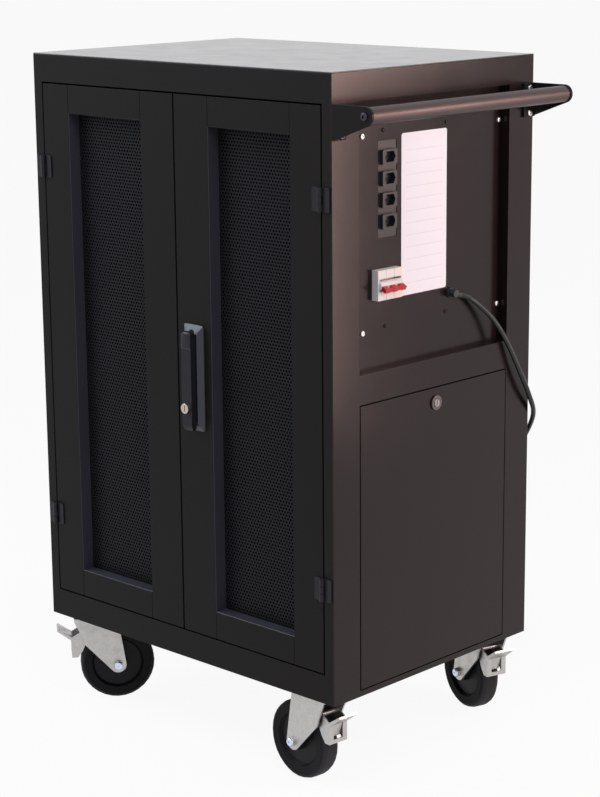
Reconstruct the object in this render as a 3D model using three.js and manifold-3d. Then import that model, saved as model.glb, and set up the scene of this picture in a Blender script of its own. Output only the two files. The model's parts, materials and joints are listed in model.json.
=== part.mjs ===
// A laptop charging cart: a sheet-steel cabinet on four braked casters, with two mesh doors at the
// front, a control side with outlets, a breaker and a mains lead, and a push handle.
// Millimetres, +Z up, the doors face -Y and the control side faces +X.
import * as THREE from "three";
import { mergeVertices } from "three/addons/utils/BufferGeometryUtils.js";
import Module from "manifold-3d";

const wasm = await Module();
wasm.setup();

// Cabinet
const BODY_WIDTH = 650;
const BODY_DEPTH = 460;
const BODY_HEIGHT = 940;
const SHEET = 2;
const STILE = 19;
const RAIL = 45;
const FRAME_DEPTH = 18;
const TOUCH = 0.3;

// Casters
const WHEEL_DIAMETER = 125;
const WHEEL_WIDTH = 34;
const CASTER_HEIGHT = 160;
const CASTER_RECESS = 12;
const CASTER_TRAIL = 46;
const CASTER_INSET_X = 52;
const CASTER_INSET_Y = 34;
const FORK_GAUGE = 3;
const FORK_CLEAR = 5;
const AXLE_RADIUS = 6;
const CASTER_YAWS = { front_left: 52, front_right: 175, back_left: 32, back_right: 162 };

// Doors
const DOOR_GAP = 2.5;
const MEETING_GAP = 3;
const DOOR_DEPTH = 22;
const DOOR_SKIN = 1.5;
const WINDOW_HINGE_MARGIN = 60;
const WINDOW_MEETING_MARGIN = 72;
const WINDOW_END_MARGIN = 44;
const WINDOW_RETURN = 2;
const MESH_GAUGE = 1.2;
const MESH_LAP = 8;
const MESH_COLUMNS = 4;
const MESH_ROWS = 10;
const MESH_BAR = 10;
const SEAM_WIDTH = 1.2;
const SEAM_DEPTH = 0.6;

// Surface hinges
const HINGE_HEIGHT = 35;
const HINGE_LEAF = 17;
const HINGE_GAUGE = 2;
const KNUCKLE_RADIUS = 4;
const HINGE_PIN_RADIUS = 1.6;
const HINGE_INSET = 180;
const KNUCKLE_GAP = 0.4;

// Swing handle
const HANDLE_X = 38;
const HANDLE_Z = 462;
const BASE_HEIGHT = 166;
const BASE_WIDTH = 42;
const BASE_DEPTH = 9;
const BASE_RIM = 2;
const BASE_END_SLOPE = 13;
const BASE_SIDE_SLOPE = 8;
const DISH_DEPTH = 3;
const DISH_MARGIN = 1.6;
const LEVER_WIDTH = 21;
const LEVER_DEPTH = 10;
const LEVER_DROP = 81;
const LEVER_RISE = 74;
const LUG_WIDTH = 8;
const SPINDLE_RADIUS = 6.5;
const SPINDLE_STUB_RADIUS = 4.5;
const LIFT_PIN_RADIUS = 2;
const KEY_RADIUS = 8;
const KEY_PROUD = 5.5;
const KEY_ABOVE_END = 36;
const TONGUE_WIDTH = 20;
const TONGUE_LENGTH = 62;
const TONGUE_GAUGE = 4;
const TONGUE_BEHIND_DOOR = 4;

// Control side
const POST = 58;
const RECESS_DEPTH = 16;
const RECESS_FLOOR = 497;
const PANEL_LAP = 16;
const ACCESS_TOP = 452;
const ACCESS_FOOT = 9;
const ACCESS_GAP = 1.8;
const ACCESS_DEPTH = 18;
const HOOK_INSET = 50;
const HOOK_WIDTH = 30;
const HOOK_DROP = 7;
const STRIP_Y = -93;
const STRIP_Z = 762;
const STRIP_WIDTH = 40;
const STRIP_HEIGHT = 142;
const STRIP_DEPTH = 22;
const SOCKET_COUNT = 4;
const SOCKET_PITCH = 31.5;
const SOCKET_WELL_RADIUS = 9;
const SOCKET_WELL_DEPTH = 9;
const SOCKET_PROUD = 6;
const MODULE_Y = 16;
const MODULE_Z = 11;
const BREAKER_Y = -100;
const BREAKER_Z = 623;
const BREAKER_WIDTH = 54;
const BREAKER_NOSE_HEIGHT = 45;
const BREAKER_BODY_HEIGHT = 82;
const BREAKER_BODY_DEPTH = 40;
const BREAKER_NOSE = 12;
const TOGGLE_DRUM_RADIUS = 6.5;
const TOGGLE_REACH = 16;
const TOGGLE_REST_DEG = 28;
const GLAND_Y = 50;
const GLAND_Z = 588;
const GLAND_BOSS_RADIUS = 8.5;
const GLAND_STEM_RADIUS = 6;
const GLAND_OUTLET_RADIUS = 5.2;
const GLAND_STAND = 8;
const GLAND_REACH = 16;
const GLAND_TILT_DEG = 15;
const KEEPER_DEPTH = 24;
const LOCK_Z = 427;
const LOCK_HEAD_RADIUS = 11.5;
const LOCK_BARREL_RADIUS = 9;
const LOCK_PLUG_RADIUS = 6;
const CAM_LENGTH = 34;
const CAM_GAUGE = 2.5;

// Push handle
const TUBE_RADIUS = 12.5;
const TUBE_REACH = 62;
const TUBE_BELOW_TOP = 58;
const BRACKET_GAUGE = 5;
const BRACKET_HEIGHT = 52;
const BRACKET_TIP_RADIUS = 14;
const FLANGE_WIDTH = 27;
const FLANGE_GAUGE = 4;

// Inside
const PARTITION_BEHIND_PANEL = 72;
const SHELF_FRONT_GAP = 40;
const LOWER_SHELF = 46;
const UPPER_SHELF = BODY_HEIGHT / 2;
const SLOT_COUNT = 8;
const DIVIDER_HEIGHT = 190;
const DIVIDER_BACK_GAP = 62;
const DIVIDER_ROUND = 40;
const INNER_STRIP_HEIGHT = 46;
const INNER_STRIP_DEPTH = 40;
const INNER_STRIP_ABOVE_SHELF = 250;
const INNER_STRIP_INSET = 30;
const INNER_WELL_RADIUS = 12;
const VENT_PITCH = 56;
const VENT_WIDTH = 8;
const VENT_HEIGHT = 70;
const VENT_ABOVE_STRIP = 20;

// Mains lead
const CORD_RADIUS = 4;
const CORD_SIDES = 8;
const CORD_STEPS = 56;
const COIL_X = -130;
const COIL_Y = 330;
const COIL_OUTER_RADIUS = 51.6;
const COIL_PITCH = 8.75;
const COIL_LAYERS = 4;
const COIL_TURNS = 6.5;
const COIL_RISE_TURNS = 0.15;
const COIL_STEPS_PER_TURN = 24;
const COIL_SIDES = 6;
const COIL_LEAD_IN = 8;
const TAIL_LENGTH = 95;
const PLUG_AXIS_Z = 16;
const PLUG_RADIUS = 14;
const PLUG_LENGTH = 46;
const TIE_WIDTH = 16;
const TIE_GAUGE = 1.6;
const TIE_CLEAR = 0.8;

// Worked out
const HALF_W = BODY_WIDTH / 2;
const HALF_D = BODY_DEPTH / 2;
const FLOOR_TO_BODY = CASTER_HEIGHT - CASTER_RECESS;
const TOP_Z = FLOOR_TO_BODY + BODY_HEIGHT;
const FRONT = -HALF_D;
const OPEN_X = HALF_W - STILE;
const OPEN_Z0 = FLOOR_TO_BODY + RAIL;
const OPEN_Z1 = TOP_Z - RAIL;
const DOOR_BACK = FRONT + DOOR_DEPTH;
const PANEL_X = HALF_W - RECESS_DEPTH;
const KEEPER_X = HALF_W - KEEPER_DEPTH;
const PARTITION_X = PANEL_X - PARTITION_BEHIND_PANEL;
const BASE_PLATE_Z = FLOOR_TO_BODY + CASTER_RECESS;
const RECESS_Z0 = FLOOR_TO_BODY + RECESS_FLOOR;
const RECESS_Z1 = TOP_Z - RAIL + SHEET / 2;
const POST_Y = HALF_D - POST;
const SHELVES = { lower: FLOOR_TO_BODY + LOWER_SHELF, upper: FLOOR_TO_BODY + UPPER_SHELF };

// Colours, as seen in the photograph
const FINISHES = {
  powder_coat: { color: 0x2b292b, roughness: 0.55, metalness: 0.1 },
  dark_mesh: { color: 0x121214, roughness: 0.6, metalness: 0.2 },
  handle_black: { color: 0x1b1c20, roughness: 0.4, metalness: 0.0 },
  zinc: { color: 0xc2c0ba, roughness: 0.4, metalness: 0.8 },
  rubber: { color: 0x1d1d1f, roughness: 0.75, metalness: 0.0 },
  chrome: { color: 0xd6d3c8, roughness: 0.2, metalness: 1.0 },
  white_plastic: { color: 0xe8e6e2, roughness: 0.4, metalness: 0.0 },
  red_plastic: { color: 0xb3161a, roughness: 0.4, metalness: 0.0 },
  black_plastic: { color: 0x222224, roughness: 0.5, metalness: 0.0 },
};

const root = new THREE.Group();
root.name = "laptop_charging_cart";

// Solids

function toSolid(geometry) {
  const loose = geometry.index ? geometry.toNonIndexed() : geometry;
  const bare = new THREE.BufferGeometry();
  bare.setAttribute("position", loose.getAttribute("position").clone());
  const merged = mergeVertices(bare, 1e-4);
  return new wasm.Manifold(
    new wasm.Mesh({
      numProp: 3,
      vertProperties: merged.attributes.position.array,
      triVerts: new Uint32Array(merged.index.array),
    }),
  );
}

function toGeometry(solid) {
  const mesh = solid.getMesh();
  const geometry = new THREE.BufferGeometry();
  geometry.setAttribute("position", new THREE.BufferAttribute(mesh.vertProperties, 3));
  geometry.setIndex(new THREE.BufferAttribute(mesh.triVerts, 1));
  geometry.computeVertexNormals();
  return geometry;
}

const join = (...solids) => wasm.Manifold.union(solids);
const cut = (solid, ...tools) => solid.subtract(wasm.Manifold.union(tools));

function box(x0, x1, y0, y1, z0, z1) {
  const geometry = new THREE.BoxGeometry(x1 - x0, y1 - y0, z1 - z0);
  geometry.translate((x0 + x1) / 2, (y0 + y1) / 2, (z0 + z1) / 2);
  return toSolid(geometry);
}

// A round bar along one axis, from a to b, through the point given by the two other coordinates.
function bar(axis, radius, a, b, p, q, sides = 24) {
  const geometry = new THREE.CylinderGeometry(radius, radius, b - a, sides);
  geometry.translate(0, (a + b) / 2, 0);
  if (axis === "x") {
    geometry.rotateZ(-Math.PI / 2);
    geometry.translate(0, p, q);
  } else if (axis === "y") {
    geometry.translate(p, 0, q);
  } else {
    geometry.rotateX(Math.PI / 2);
    geometry.translate(p, q, 0);
  }
  return toSolid(geometry);
}

// A shape drawn in (x, z), pushed along Y from y0 to y1.
function slabXZ(shape, y0, y1, curveSegments = 8) {
  const geometry = new THREE.ExtrudeGeometry(shape, {
    depth: y1 - y0,
    bevelEnabled: false,
    curveSegments,
  });
  geometry.rotateX(Math.PI / 2);
  geometry.translate(0, y1, 0);
  return toSolid(geometry);
}

// A shape drawn in (y, z), pushed along X from x0 to x1.
function slabYZ(shape, x0, x1, curveSegments = 8) {
  const geometry = new THREE.ExtrudeGeometry(shape, {
    depth: x1 - x0,
    bevelEnabled: false,
    curveSegments,
  });
  geometry.rotateX(Math.PI / 2);
  geometry.rotateZ(Math.PI / 2);
  geometry.translate(x0, 0, 0);
  return toSolid(geometry);
}

// A shape drawn in (x, y), pushed along Z from z0 to z1.
function slabXY(shape, z0, z1) {
  const geometry = new THREE.ExtrudeGeometry(shape, { depth: z1 - z0, bevelEnabled: false });
  geometry.translate(0, 0, z0);
  return toSolid(geometry);
}

function roundedShape(x0, x1, z0, z1, radius) {
  const shape = new THREE.Shape();
  shape.moveTo(x0 + radius, z0);
  shape.lineTo(x1 - radius, z0);
  shape.absarc(x1 - radius, z0 + radius, radius, -Math.PI / 2, 0);
  shape.lineTo(x1, z1 - radius);
  shape.absarc(x1 - radius, z1 - radius, radius, 0, Math.PI / 2);
  shape.lineTo(x0 + radius, z1);
  shape.absarc(x0 + radius, z1 - radius, radius, Math.PI / 2, Math.PI);
  shape.lineTo(x0, z0 + radius);
  shape.absarc(x0 + radius, z0 + radius, radius, Math.PI, 1.5 * Math.PI);
  return shape;
}

function polygon(points) {
  return new THREE.Shape(points.map(([a, b]) => new THREE.Vector2(a, b)));
}

function add(name, solid, finish, parent = root) {
  const geometry = solid.isBufferGeometry ? solid : toGeometry(solid);
  const mesh = new THREE.Mesh(geometry, new THREE.MeshStandardMaterial(FINISHES[finish]));
  mesh.name = name;
  parent.add(mesh);
  return mesh;
}

// Cabinet shell

function addShell() {
  const inX = HALF_W - SHEET;
  const underTop = TOP_Z - SHEET;
  add("cabinet_top", box(-HALF_W, HALF_W, -HALF_D, HALF_D, underTop, TOP_Z), "powder_coat");
  add(
    "left_side_panel",
    box(-HALF_W, -inX, -HALF_D, HALF_D, FLOOR_TO_BODY, underTop),
    "powder_coat",
  );
  add("back_panel", backPanel(inX, underTop), "powder_coat");
  add("front_frame", frontFrame(inX, underTop), "powder_coat");
  add("control_side_frame", controlSideFrame(underTop), "powder_coat");
  add("base_plate", basePlate(inX), "powder_coat");
  add(
    "service_partition",
    box(
      PARTITION_X - SHEET,
      PARTITION_X,
      FRONT + SHELF_FRONT_GAP,
      HALF_D - SHEET,
      BASE_PLATE_Z + SHEET,
      underTop,
    ),
    "powder_coat",
  );
}

// The floor of the cabinet, notched where the access panel swings, with a lip folded down there.
function basePlate(inX) {
  const z1 = BASE_PLATE_Z + SHEET;
  const notchX = HALF_W - ACCESS_DEPTH - ACCESS_GAP;
  const notchY = POST_Y + ACCESS_GAP;
  const plate = cut(
    box(-inX, inX, FRONT + FRAME_DEPTH, HALF_D - SHEET, BASE_PLATE_Z, z1),
    box(notchX, HALF_W, -notchY, notchY, BASE_PLATE_Z - 1, z1 + 1),
  );
  return join(plate, box(notchX - SHEET, notchX, -notchY, notchY, FLOOR_TO_BODY + 1, z1));
}

// The back has two rows of upright vent slots behind each shelf.
function backPanel(inX, underTop) {
  const slots = [];
  for (const shelf of Object.values(SHELVES)) {
    const z0 = shelf + INNER_STRIP_ABOVE_SHELF + INNER_STRIP_HEIGHT + VENT_ABOVE_STRIP;
    const z1 = z0 + VENT_HEIGHT;
    for (let i = -3; i <= 2; i += 1) {
      const x = i * VENT_PITCH;
      slots.push(box(x, x + VENT_WIDTH, HALF_D - 2 * SHEET, HALF_D + SHEET, z0, z1));
    }
  }
  return cut(box(-inX, inX, HALF_D - SHEET, HALF_D, FLOOR_TO_BODY, underTop), ...slots);
}

// A folded ring: a front skin with a return along its outer edge and one along its opening.
function frontFrame(inX, underTop) {
  const back = FRONT + FRAME_DEPTH;
  const ring = cut(
    box(-inX, inX, FRONT, back, FLOOR_TO_BODY, underTop),
    box(-OPEN_X, OPEN_X, FRONT - 1, back + 1, OPEN_Z0, OPEN_Z1),
  );
  const pocket = cut(
    box(
      -inX + SHEET,
      inX - SHEET,
      FRONT + SHEET,
      back + 1,
      FLOOR_TO_BODY + SHEET,
      underTop - SHEET,
    ),
    box(-OPEN_X - SHEET, OPEN_X + SHEET, FRONT, back + 2, OPEN_Z0 - SHEET, OPEN_Z1 + SHEET),
  );
  return ring.subtract(pocket);
}

// The control side: a skin with a folded recess above, the access opening below and a return at its foot.
function controlSideFrame(underTop) {
  const skin = box(HALF_W - SHEET, HALF_W, -HALF_D, HALF_D, FLOOR_TO_BODY, underTop);
  const recessOuter = box(
    PANEL_X,
    HALF_W - SHEET / 2,
    -POST_Y - SHEET,
    POST_Y + SHEET,
    RECESS_Z0 - SHEET,
    RECESS_Z1 + SHEET,
  );
  const recessOpen = box(PANEL_X - 1, HALF_W + 1, -POST_Y, POST_Y, RECESS_Z0, RECESS_Z1);
  const accessTop = FLOOR_TO_BODY + ACCESS_TOP;
  const keeper = box(KEEPER_X, HALF_W - SHEET / 2, -POST_Y, POST_Y, accessTop, accessTop + SHEET);
  const accessOpen = box(
    HALF_W - 2 * SHEET,
    HALF_W + 1,
    -POST_Y,
    POST_Y,
    FLOOR_TO_BODY + ACCESS_FOOT,
    accessTop,
  );
  const footReturn = box(
    HALF_W - ACCESS_DEPTH - ACCESS_GAP + TOUCH,
    HALF_W - SHEET / 2,
    -POST_Y,
    POST_Y,
    FLOOR_TO_BODY,
    FLOOR_TO_BODY + SHEET,
  );
  return cut(join(skin, recessOuter, keeper, footReturn), recessOpen, accessOpen);
}

// Doors with their mesh, on surface hinges

function addDoors() {
  for (const side of [-1, 1]) {
    const name = side < 0 ? "left" : "right";
    add(name + "_door", door(side), "powder_coat");
    add(name + "_door_mesh", doorMesh(side), "dark_mesh");
    for (const level of ["lower", "upper"]) {
      const z = level === "lower" ? FLOOR_TO_BODY + HINGE_INSET : TOP_Z - HINGE_INSET;
      const label = name + "_" + level + "_hinge";
      add(label + "_frame_leaf", hingeFrameLeaf(side, z), "handle_black");
      add(label + "_door_leaf", hingeDoorLeaf(side, z), "handle_black");
    }
  }
}

// A box given from the hinge edge (a) to the meeting edge (b) of one door.
function doorBox(side, a, b, y0, y1, z0, z1) {
  const hingeEdge = OPEN_X - DOOR_GAP;
  const x0 = side * (hingeEdge - a);
  const x1 = side * (hingeEdge - b);
  return box(Math.min(x0, x1), Math.max(x0, x1), y0, y1, z0, z1);
}

function doorSizes() {
  const width = OPEN_X - DOOR_GAP - MEETING_GAP / 2;
  return {
    width,
    z0: OPEN_Z0 + DOOR_GAP,
    z1: OPEN_Z1 - DOOR_GAP,
    windowA: WINDOW_HINGE_MARGIN,
    windowB: width - WINDOW_MEETING_MARGIN,
    windowZ0: OPEN_Z0 + DOOR_GAP + WINDOW_END_MARGIN,
    windowZ1: OPEN_Z1 - DOOR_GAP - WINDOW_END_MARGIN,
  };
}

function door(side) {
  const d = doorSizes();
  const r = WINDOW_RETURN;
  const slab = doorBox(side, 0, d.width, FRONT, DOOR_BACK, d.z0, d.z1);
  const window = doorBox(
    side, d.windowA, d.windowB, FRONT - 1, DOOR_BACK + 1, d.windowZ0, d.windowZ1,
  );
  const pocket = cut(
    doorBox(side, r, d.width - r, FRONT + DOOR_SKIN, DOOR_BACK + 1, d.z0 + r, d.z1 - r),
    doorBox(
      side, d.windowA - r, d.windowB + r, FRONT, DOOR_BACK + 2, d.windowZ0 - r, d.windowZ1 + r,
    ),
  );
  const seams = [];
  for (const edge of [d.windowA, d.windowB - SEAM_WIDTH]) {
    for (const [z0, z1] of [[d.z0 - 1, d.windowZ0 + 1], [d.windowZ1 - 1, d.z1 + 1]]) {
      seams.push(doorBox(side, edge, edge + SEAM_WIDTH, FRONT - 1, FRONT + SEAM_DEPTH, z0, z1));
    }
  }
  const shell = cut(slab, window, pocket, ...seams);
  if (side < 0) {
    return shell;
  }
  const pivotZ = handlePivotZ();
  return cut(shell, bar("y", SPINDLE_RADIUS + 2 * TOUCH, FRONT - 1, FRONT + 4, HANDLE_X, pivotZ));
}

// The sheet behind the window, opened by a plain grid that stands for its perforations.
function doorMesh(side) {
  const d = doorSizes();
  const back = DOOR_BACK + MESH_GAUGE;
  const sheet = doorBox(
    side,
    d.windowA - MESH_LAP,
    d.windowB + MESH_LAP,
    DOOR_BACK,
    back,
    d.windowZ0 - MESH_LAP,
    d.windowZ1 + MESH_LAP,
  );
  const pitchA = (d.windowB - d.windowA) / MESH_COLUMNS;
  const pitchZ = (d.windowZ1 - d.windowZ0) / MESH_ROWS;
  const openings = [];
  for (let i = 0; i < MESH_COLUMNS; i += 1) {
    for (let k = 0; k < MESH_ROWS; k += 1) {
      const a = d.windowA + i * pitchA + MESH_BAR / 2;
      const b = a + pitchA - MESH_BAR;
      const z0 = d.windowZ0 + k * pitchZ + MESH_BAR / 2;
      const z1 = z0 + pitchZ - MESH_BAR;
      openings.push(doorBox(side, a, b, DOOR_BACK - 1, back + 1, z0, z1));
    }
  }
  return cut(sheet, ...openings);
}

const hingeAxisX = (side) => side * (OPEN_X - DOOR_GAP / 2);
const HINGE_AXIS_Y = FRONT - KNUCKLE_RADIUS;

function knuckle(side, z0, z1) {
  return bar("z", KNUCKLE_RADIUS, z0, z1, hingeAxisX(side), HINGE_AXIS_Y, 16);
}

// The leaf's plate, on the cabinet's side of the pin or on the door's.
function leafPlate(side, outward, z) {
  const near = KNUCKLE_RADIUS + KNUCKLE_GAP;
  const a = hingeAxisX(side) + side * outward * near;
  const b = hingeAxisX(side) + side * outward * HINGE_LEAF;
  const low = z - HINGE_HEIGHT / 2;
  const shape = roundedShape(Math.min(a, b), Math.max(a, b), low, low + HINGE_HEIGHT, 2);
  return slabXZ(shape, FRONT - HINGE_GAUGE, FRONT, 3);
}

function leafTongue(side, outward, z0, z1) {
  const a = hingeAxisX(side);
  const b = a + side * outward * (KNUCKLE_RADIUS + 2);
  return box(Math.min(a, b), Math.max(a, b), FRONT - HINGE_GAUGE, FRONT, z0, z1);
}

function hingeFrameLeaf(side, z) {
  const third = HINGE_HEIGHT / 3;
  const low = z - HINGE_HEIGHT / 2;
  const high = z + HINGE_HEIGHT / 2;
  const pin = bar("z", HINGE_PIN_RADIUS, low, high, hingeAxisX(side), HINGE_AXIS_Y, 12);
  return join(
    leafPlate(side, 1, z),
    knuckle(side, low, low + third),
    knuckle(side, high - third, high),
    leafTongue(side, 1, low, low + third),
    leafTongue(side, 1, high - third, high),
    pin,
  );
}

function hingeDoorLeaf(side, z) {
  const half = HINGE_HEIGHT / 6 - KNUCKLE_GAP;
  const x = hingeAxisX(side);
  const end = HINGE_HEIGHT;
  const bore = bar("z", HINGE_PIN_RADIUS + TOUCH, z - end, z + end, x, HINGE_AXIS_Y, 12);
  const barrel = knuckle(side, z - half, z + half);
  const tongue = leafTongue(side, -1, z - half, z + half);
  return cut(join(leafPlate(side, -1, z), barrel, tongue), bore);
}

// Swing handle: a base on the right door, a spindle with its tongue, a lever and a key cylinder

const leverBack = FRONT - BASE_DEPTH - 2 * TOUCH;
const leverMid = leverBack - LEVER_DEPTH / 2;

function handlePivotZ() {
  return FLOOR_TO_BODY + HANDLE_Z + LEVER_RISE - LEVER_DEPTH / 2;
}

function addHandle() {
  add("handle_base", handleBase(), "handle_black");
  add("handle_spindle", handleSpindle(), "handle_black");
  add("handle_lever", handleLever(), "handle_black");
  add("handle_key_cylinder", keyCylinder(), "chrome");
  add("latch_tongue", latchTongue(), "zinc");
}

// A housing with sloped ends and sides, and a shallow dish behind the lever.
function handleBase() {
  const mid = FLOOR_TO_BODY + HANDLE_Z;
  const half = BASE_HEIGHT / 2;
  const side = BASE_WIDTH / 2;
  const front = FRONT - BASE_DEPTH;
  const rim = FRONT - BASE_RIM;
  const ends = polygon([
    [FRONT, mid - half],
    [FRONT, mid + half],
    [rim, mid + half],
    [front, mid + half - BASE_END_SLOPE],
    [front, mid - half + BASE_END_SLOPE],
    [rim, mid - half],
  ]);
  const sides = polygon([
    [HANDLE_X - side, FRONT],
    [HANDLE_X - side, rim],
    [HANDLE_X - side + BASE_SIDE_SLOPE, front],
    [HANDLE_X + side - BASE_SIDE_SLOPE, front],
    [HANDLE_X + side, rim],
    [HANDLE_X + side, FRONT],
  ]);
  const outline = roundedShape(HANDLE_X - side, HANDLE_X + side, mid - half, mid + half, 4);
  const body = slabYZ(ends, HANDLE_X - side, HANDLE_X + side)
    .intersect(slabXY(sides, mid - half, mid + half))
    .intersect(slabXZ(outline, front - 1, FRONT + 1, 4));
  const dishHalf = LEVER_WIDTH / 2 + DISH_MARGIN;
  const dish = box(
    HANDLE_X - dishHalf,
    HANDLE_X + dishHalf,
    front - 1,
    front + DISH_DEPTH,
    mid - half + BASE_END_SLOPE + DISH_MARGIN,
    mid + half - BASE_END_SLOPE - DISH_MARGIN,
  );
  const hole = bar("y", SPINDLE_RADIUS + TOUCH, front - 1, FRONT + 1, HANDLE_X, handlePivotZ());
  return cut(body, dish, hole);
}

function handleSpindle() {
  const z = handlePivotZ();
  const tongueFront = DOOR_BACK + TONGUE_BEHIND_DOOR;
  const stub = bar(
    "y", SPINDLE_STUB_RADIUS, tongueFront - 1, tongueFront + TONGUE_GAUGE + 3, HANDLE_X, z, 12,
  );
  const lugHalf = LUG_WIDTH / 2;
  const lug = slabYZ(lugShape(z), HANDLE_X - lugHalf, HANDLE_X + lugHalf);
  const pinHalf = LEVER_WIDTH / 2 - 1;
  const pin = bar("x", LIFT_PIN_RADIUS, HANDLE_X - pinHalf, HANDLE_X + pinHalf, leverMid, z, 12);
  return join(bar("y", SPINDLE_RADIUS, leverBack, tongueFront, HANDLE_X, z), stub, lug, pin);
}

function lugShape(z) {
  const r = LEVER_DEPTH / 2 - 1;
  const shape = new THREE.Shape();
  shape.moveTo(leverBack + 1, z - r);
  shape.lineTo(leverBack + 1, z + r);
  shape.lineTo(leverMid, z + r);
  shape.absarc(leverMid, z, r, Math.PI / 2, 1.5 * Math.PI);
  return shape;
}

function handleLever() {
  const z = handlePivotZ();
  const end = FLOOR_TO_BODY + HANDLE_Z - LEVER_DROP;
  const r = LEVER_DEPTH / 2;
  const side = new THREE.Shape();
  side.moveTo(leverBack, end);
  side.lineTo(leverBack, z);
  side.absarc(leverMid, z, r, 0, Math.PI);
  side.lineTo(leverBack - LEVER_DEPTH, end + 8);
  side.lineTo(leverBack - LEVER_DEPTH + 4, end);
  const half = LEVER_WIDTH / 2;
  const front = roundedShape(HANDLE_X - half, HANDLE_X + half, end, z + r, 6);
  const outline = slabXZ(front, leverBack - LEVER_DEPTH - 1, leverBack + 1, 5);
  const slotHalf = LUG_WIDTH / 2 + TOUCH;
  const slot = box(
    HANDLE_X - slotHalf,
    HANDLE_X + slotHalf,
    leverBack - LEVER_DEPTH - 1,
    leverBack + 1,
    z - r - 4,
    z + r + 1,
  );
  const keyZ = end + KEY_ABOVE_END;
  const leverFront = leverBack - LEVER_DEPTH;
  const keyHole = bar("y", KEY_RADIUS + TOUCH, leverFront - 1, leverBack + 1, HANDLE_X, keyZ);
  const pinEnd = half + 1;
  const pinHole = bar(
    "x", LIFT_PIN_RADIUS + TOUCH, HANDLE_X - pinEnd, HANDLE_X + pinEnd, leverMid, z, 12,
  );
  const blank = slabYZ(side, HANDLE_X - half, HANDLE_X + half).intersect(outline);
  return cut(blank, slot, keyHole, pinHole);
}

function keyCylinder() {
  const z = FLOOR_TO_BODY + HANDLE_Z - LEVER_DROP + KEY_ABOVE_END;
  const face = leverBack - LEVER_DEPTH - KEY_PROUD;
  const keyway = box(HANDLE_X - 0.8, HANDLE_X + 0.8, face - 1, face + 3, z - 5, z + 5);
  return cut(bar("y", KEY_RADIUS, face, leverBack - 1, HANDLE_X, z), keyway);
}

function latchTongue() {
  const z = handlePivotZ();
  const y0 = DOOR_BACK + TONGUE_BEHIND_DOOR;
  const half = TONGUE_WIDTH / 2;
  const shape = new THREE.Shape();
  shape.moveTo(HANDLE_X + half, z);
  shape.lineTo(HANDLE_X + half, z + TONGUE_LENGTH - 5);
  shape.lineTo(HANDLE_X + half - 5, z + TONGUE_LENGTH);
  shape.lineTo(HANDLE_X - half + 5, z + TONGUE_LENGTH);
  shape.lineTo(HANDLE_X - half, z + TONGUE_LENGTH - 5);
  shape.lineTo(HANDLE_X - half, z);
  shape.absarc(HANDLE_X, z, half, Math.PI, 2 * Math.PI);
  const y1 = y0 + TONGUE_GAUGE;
  const hole = bar("y", SPINDLE_STUB_RADIUS + TOUCH, y0 - 1, y1 + 1, HANDLE_X, z, 12);
  return cut(slabXZ(shape, y0, y1), hole);
}

// Control side: panel, outlets, breaker, gland, access panel and its lock

function addControls() {
  add("control_panel", controlPanel(), "powder_coat");
  add("outlet_strip", outletStrip(), "black_plastic");
  add("breaker_body", breakerBody(), "white_plastic");
  add("breaker_toggle", breakerToggle(), "red_plastic");
  add("cable_gland", cableGland(), "black_plastic");
  add("access_panel", accessPanel(), "powder_coat");
  add("access_lock_barrel", lockBarrel(), "chrome");
  add("access_lock_plug", lockPlug(), "chrome");
}

function controlPanel() {
  const x0 = PANEL_X - SHEET;
  const plate = box(
    x0,
    PANEL_X,
    -POST_Y - PANEL_LAP,
    POST_Y + PANEL_LAP,
    RECESS_Z0 - PANEL_LAP,
    RECESS_Z1 + PANEL_LAP,
  );
  const stripZ = FLOOR_TO_BODY + STRIP_Z;
  const breakerZ = FLOOR_TO_BODY + BREAKER_Z;
  const w = STRIP_WIDTH / 2 + TOUCH;
  const h = STRIP_HEIGHT / 2 + TOUCH;
  const bw = BREAKER_WIDTH / 2 + TOUCH;
  const bh = BREAKER_NOSE_HEIGHT / 2 + TOUCH;
  return cut(
    plate,
    box(x0 - 1, PANEL_X + 1, STRIP_Y - w, STRIP_Y + w, stripZ - h, stripZ + h),
    box(x0 - 1, PANEL_X + 1, BREAKER_Y - bw, BREAKER_Y + bw, breakerZ - bh, breakerZ + bh),
  );
}

// Four outlet modules stand out of one strip, each with a six-sided well.
function outletStrip() {
  const mid = FLOOR_TO_BODY + STRIP_Z;
  const back = PANEL_X - SHEET;
  const w = STRIP_WIDTH / 2;
  const h = STRIP_HEIGHT / 2;
  const lip = 5;
  const housing = box(
    back - STRIP_DEPTH,
    back,
    STRIP_Y - w - lip,
    STRIP_Y + w + lip,
    mid - h - lip,
    mid + h + lip,
  );
  const plate = box(back - 1, PANEL_X - 1, STRIP_Y - w, STRIP_Y + w, mid - h, mid + h);
  const modules = [];
  const wells = [];
  const front = PANEL_X - 1 + SOCKET_PROUD;
  for (let i = 0; i < SOCKET_COUNT; i += 1) {
    const z = mid + (i - (SOCKET_COUNT - 1) / 2) * SOCKET_PITCH;
    const face = roundedShape(STRIP_Y - MODULE_Y, STRIP_Y + MODULE_Y, z - MODULE_Z, z + MODULE_Z, 2);
    modules.push(slabYZ(face, back, front, 2));
    wells.push(socketWell(z, front));
  }
  return cut(join(housing, plate, ...modules), ...wells);
}

function socketWell(z, front) {
  const long = SOCKET_WELL_RADIUS + 3;
  const half = SOCKET_WELL_RADIUS - 1;
  const shape = polygon([
    [STRIP_Y - long, z],
    [STRIP_Y - half, z - half],
    [STRIP_Y + half, z - half],
    [STRIP_Y + long, z],
    [STRIP_Y + half, z + half],
    [STRIP_Y - half, z + half],
  ]);
  return slabYZ(shape, front - SOCKET_WELL_DEPTH, front + 1);
}

const toggleX = PANEL_X + BREAKER_NOSE - 3;

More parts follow.
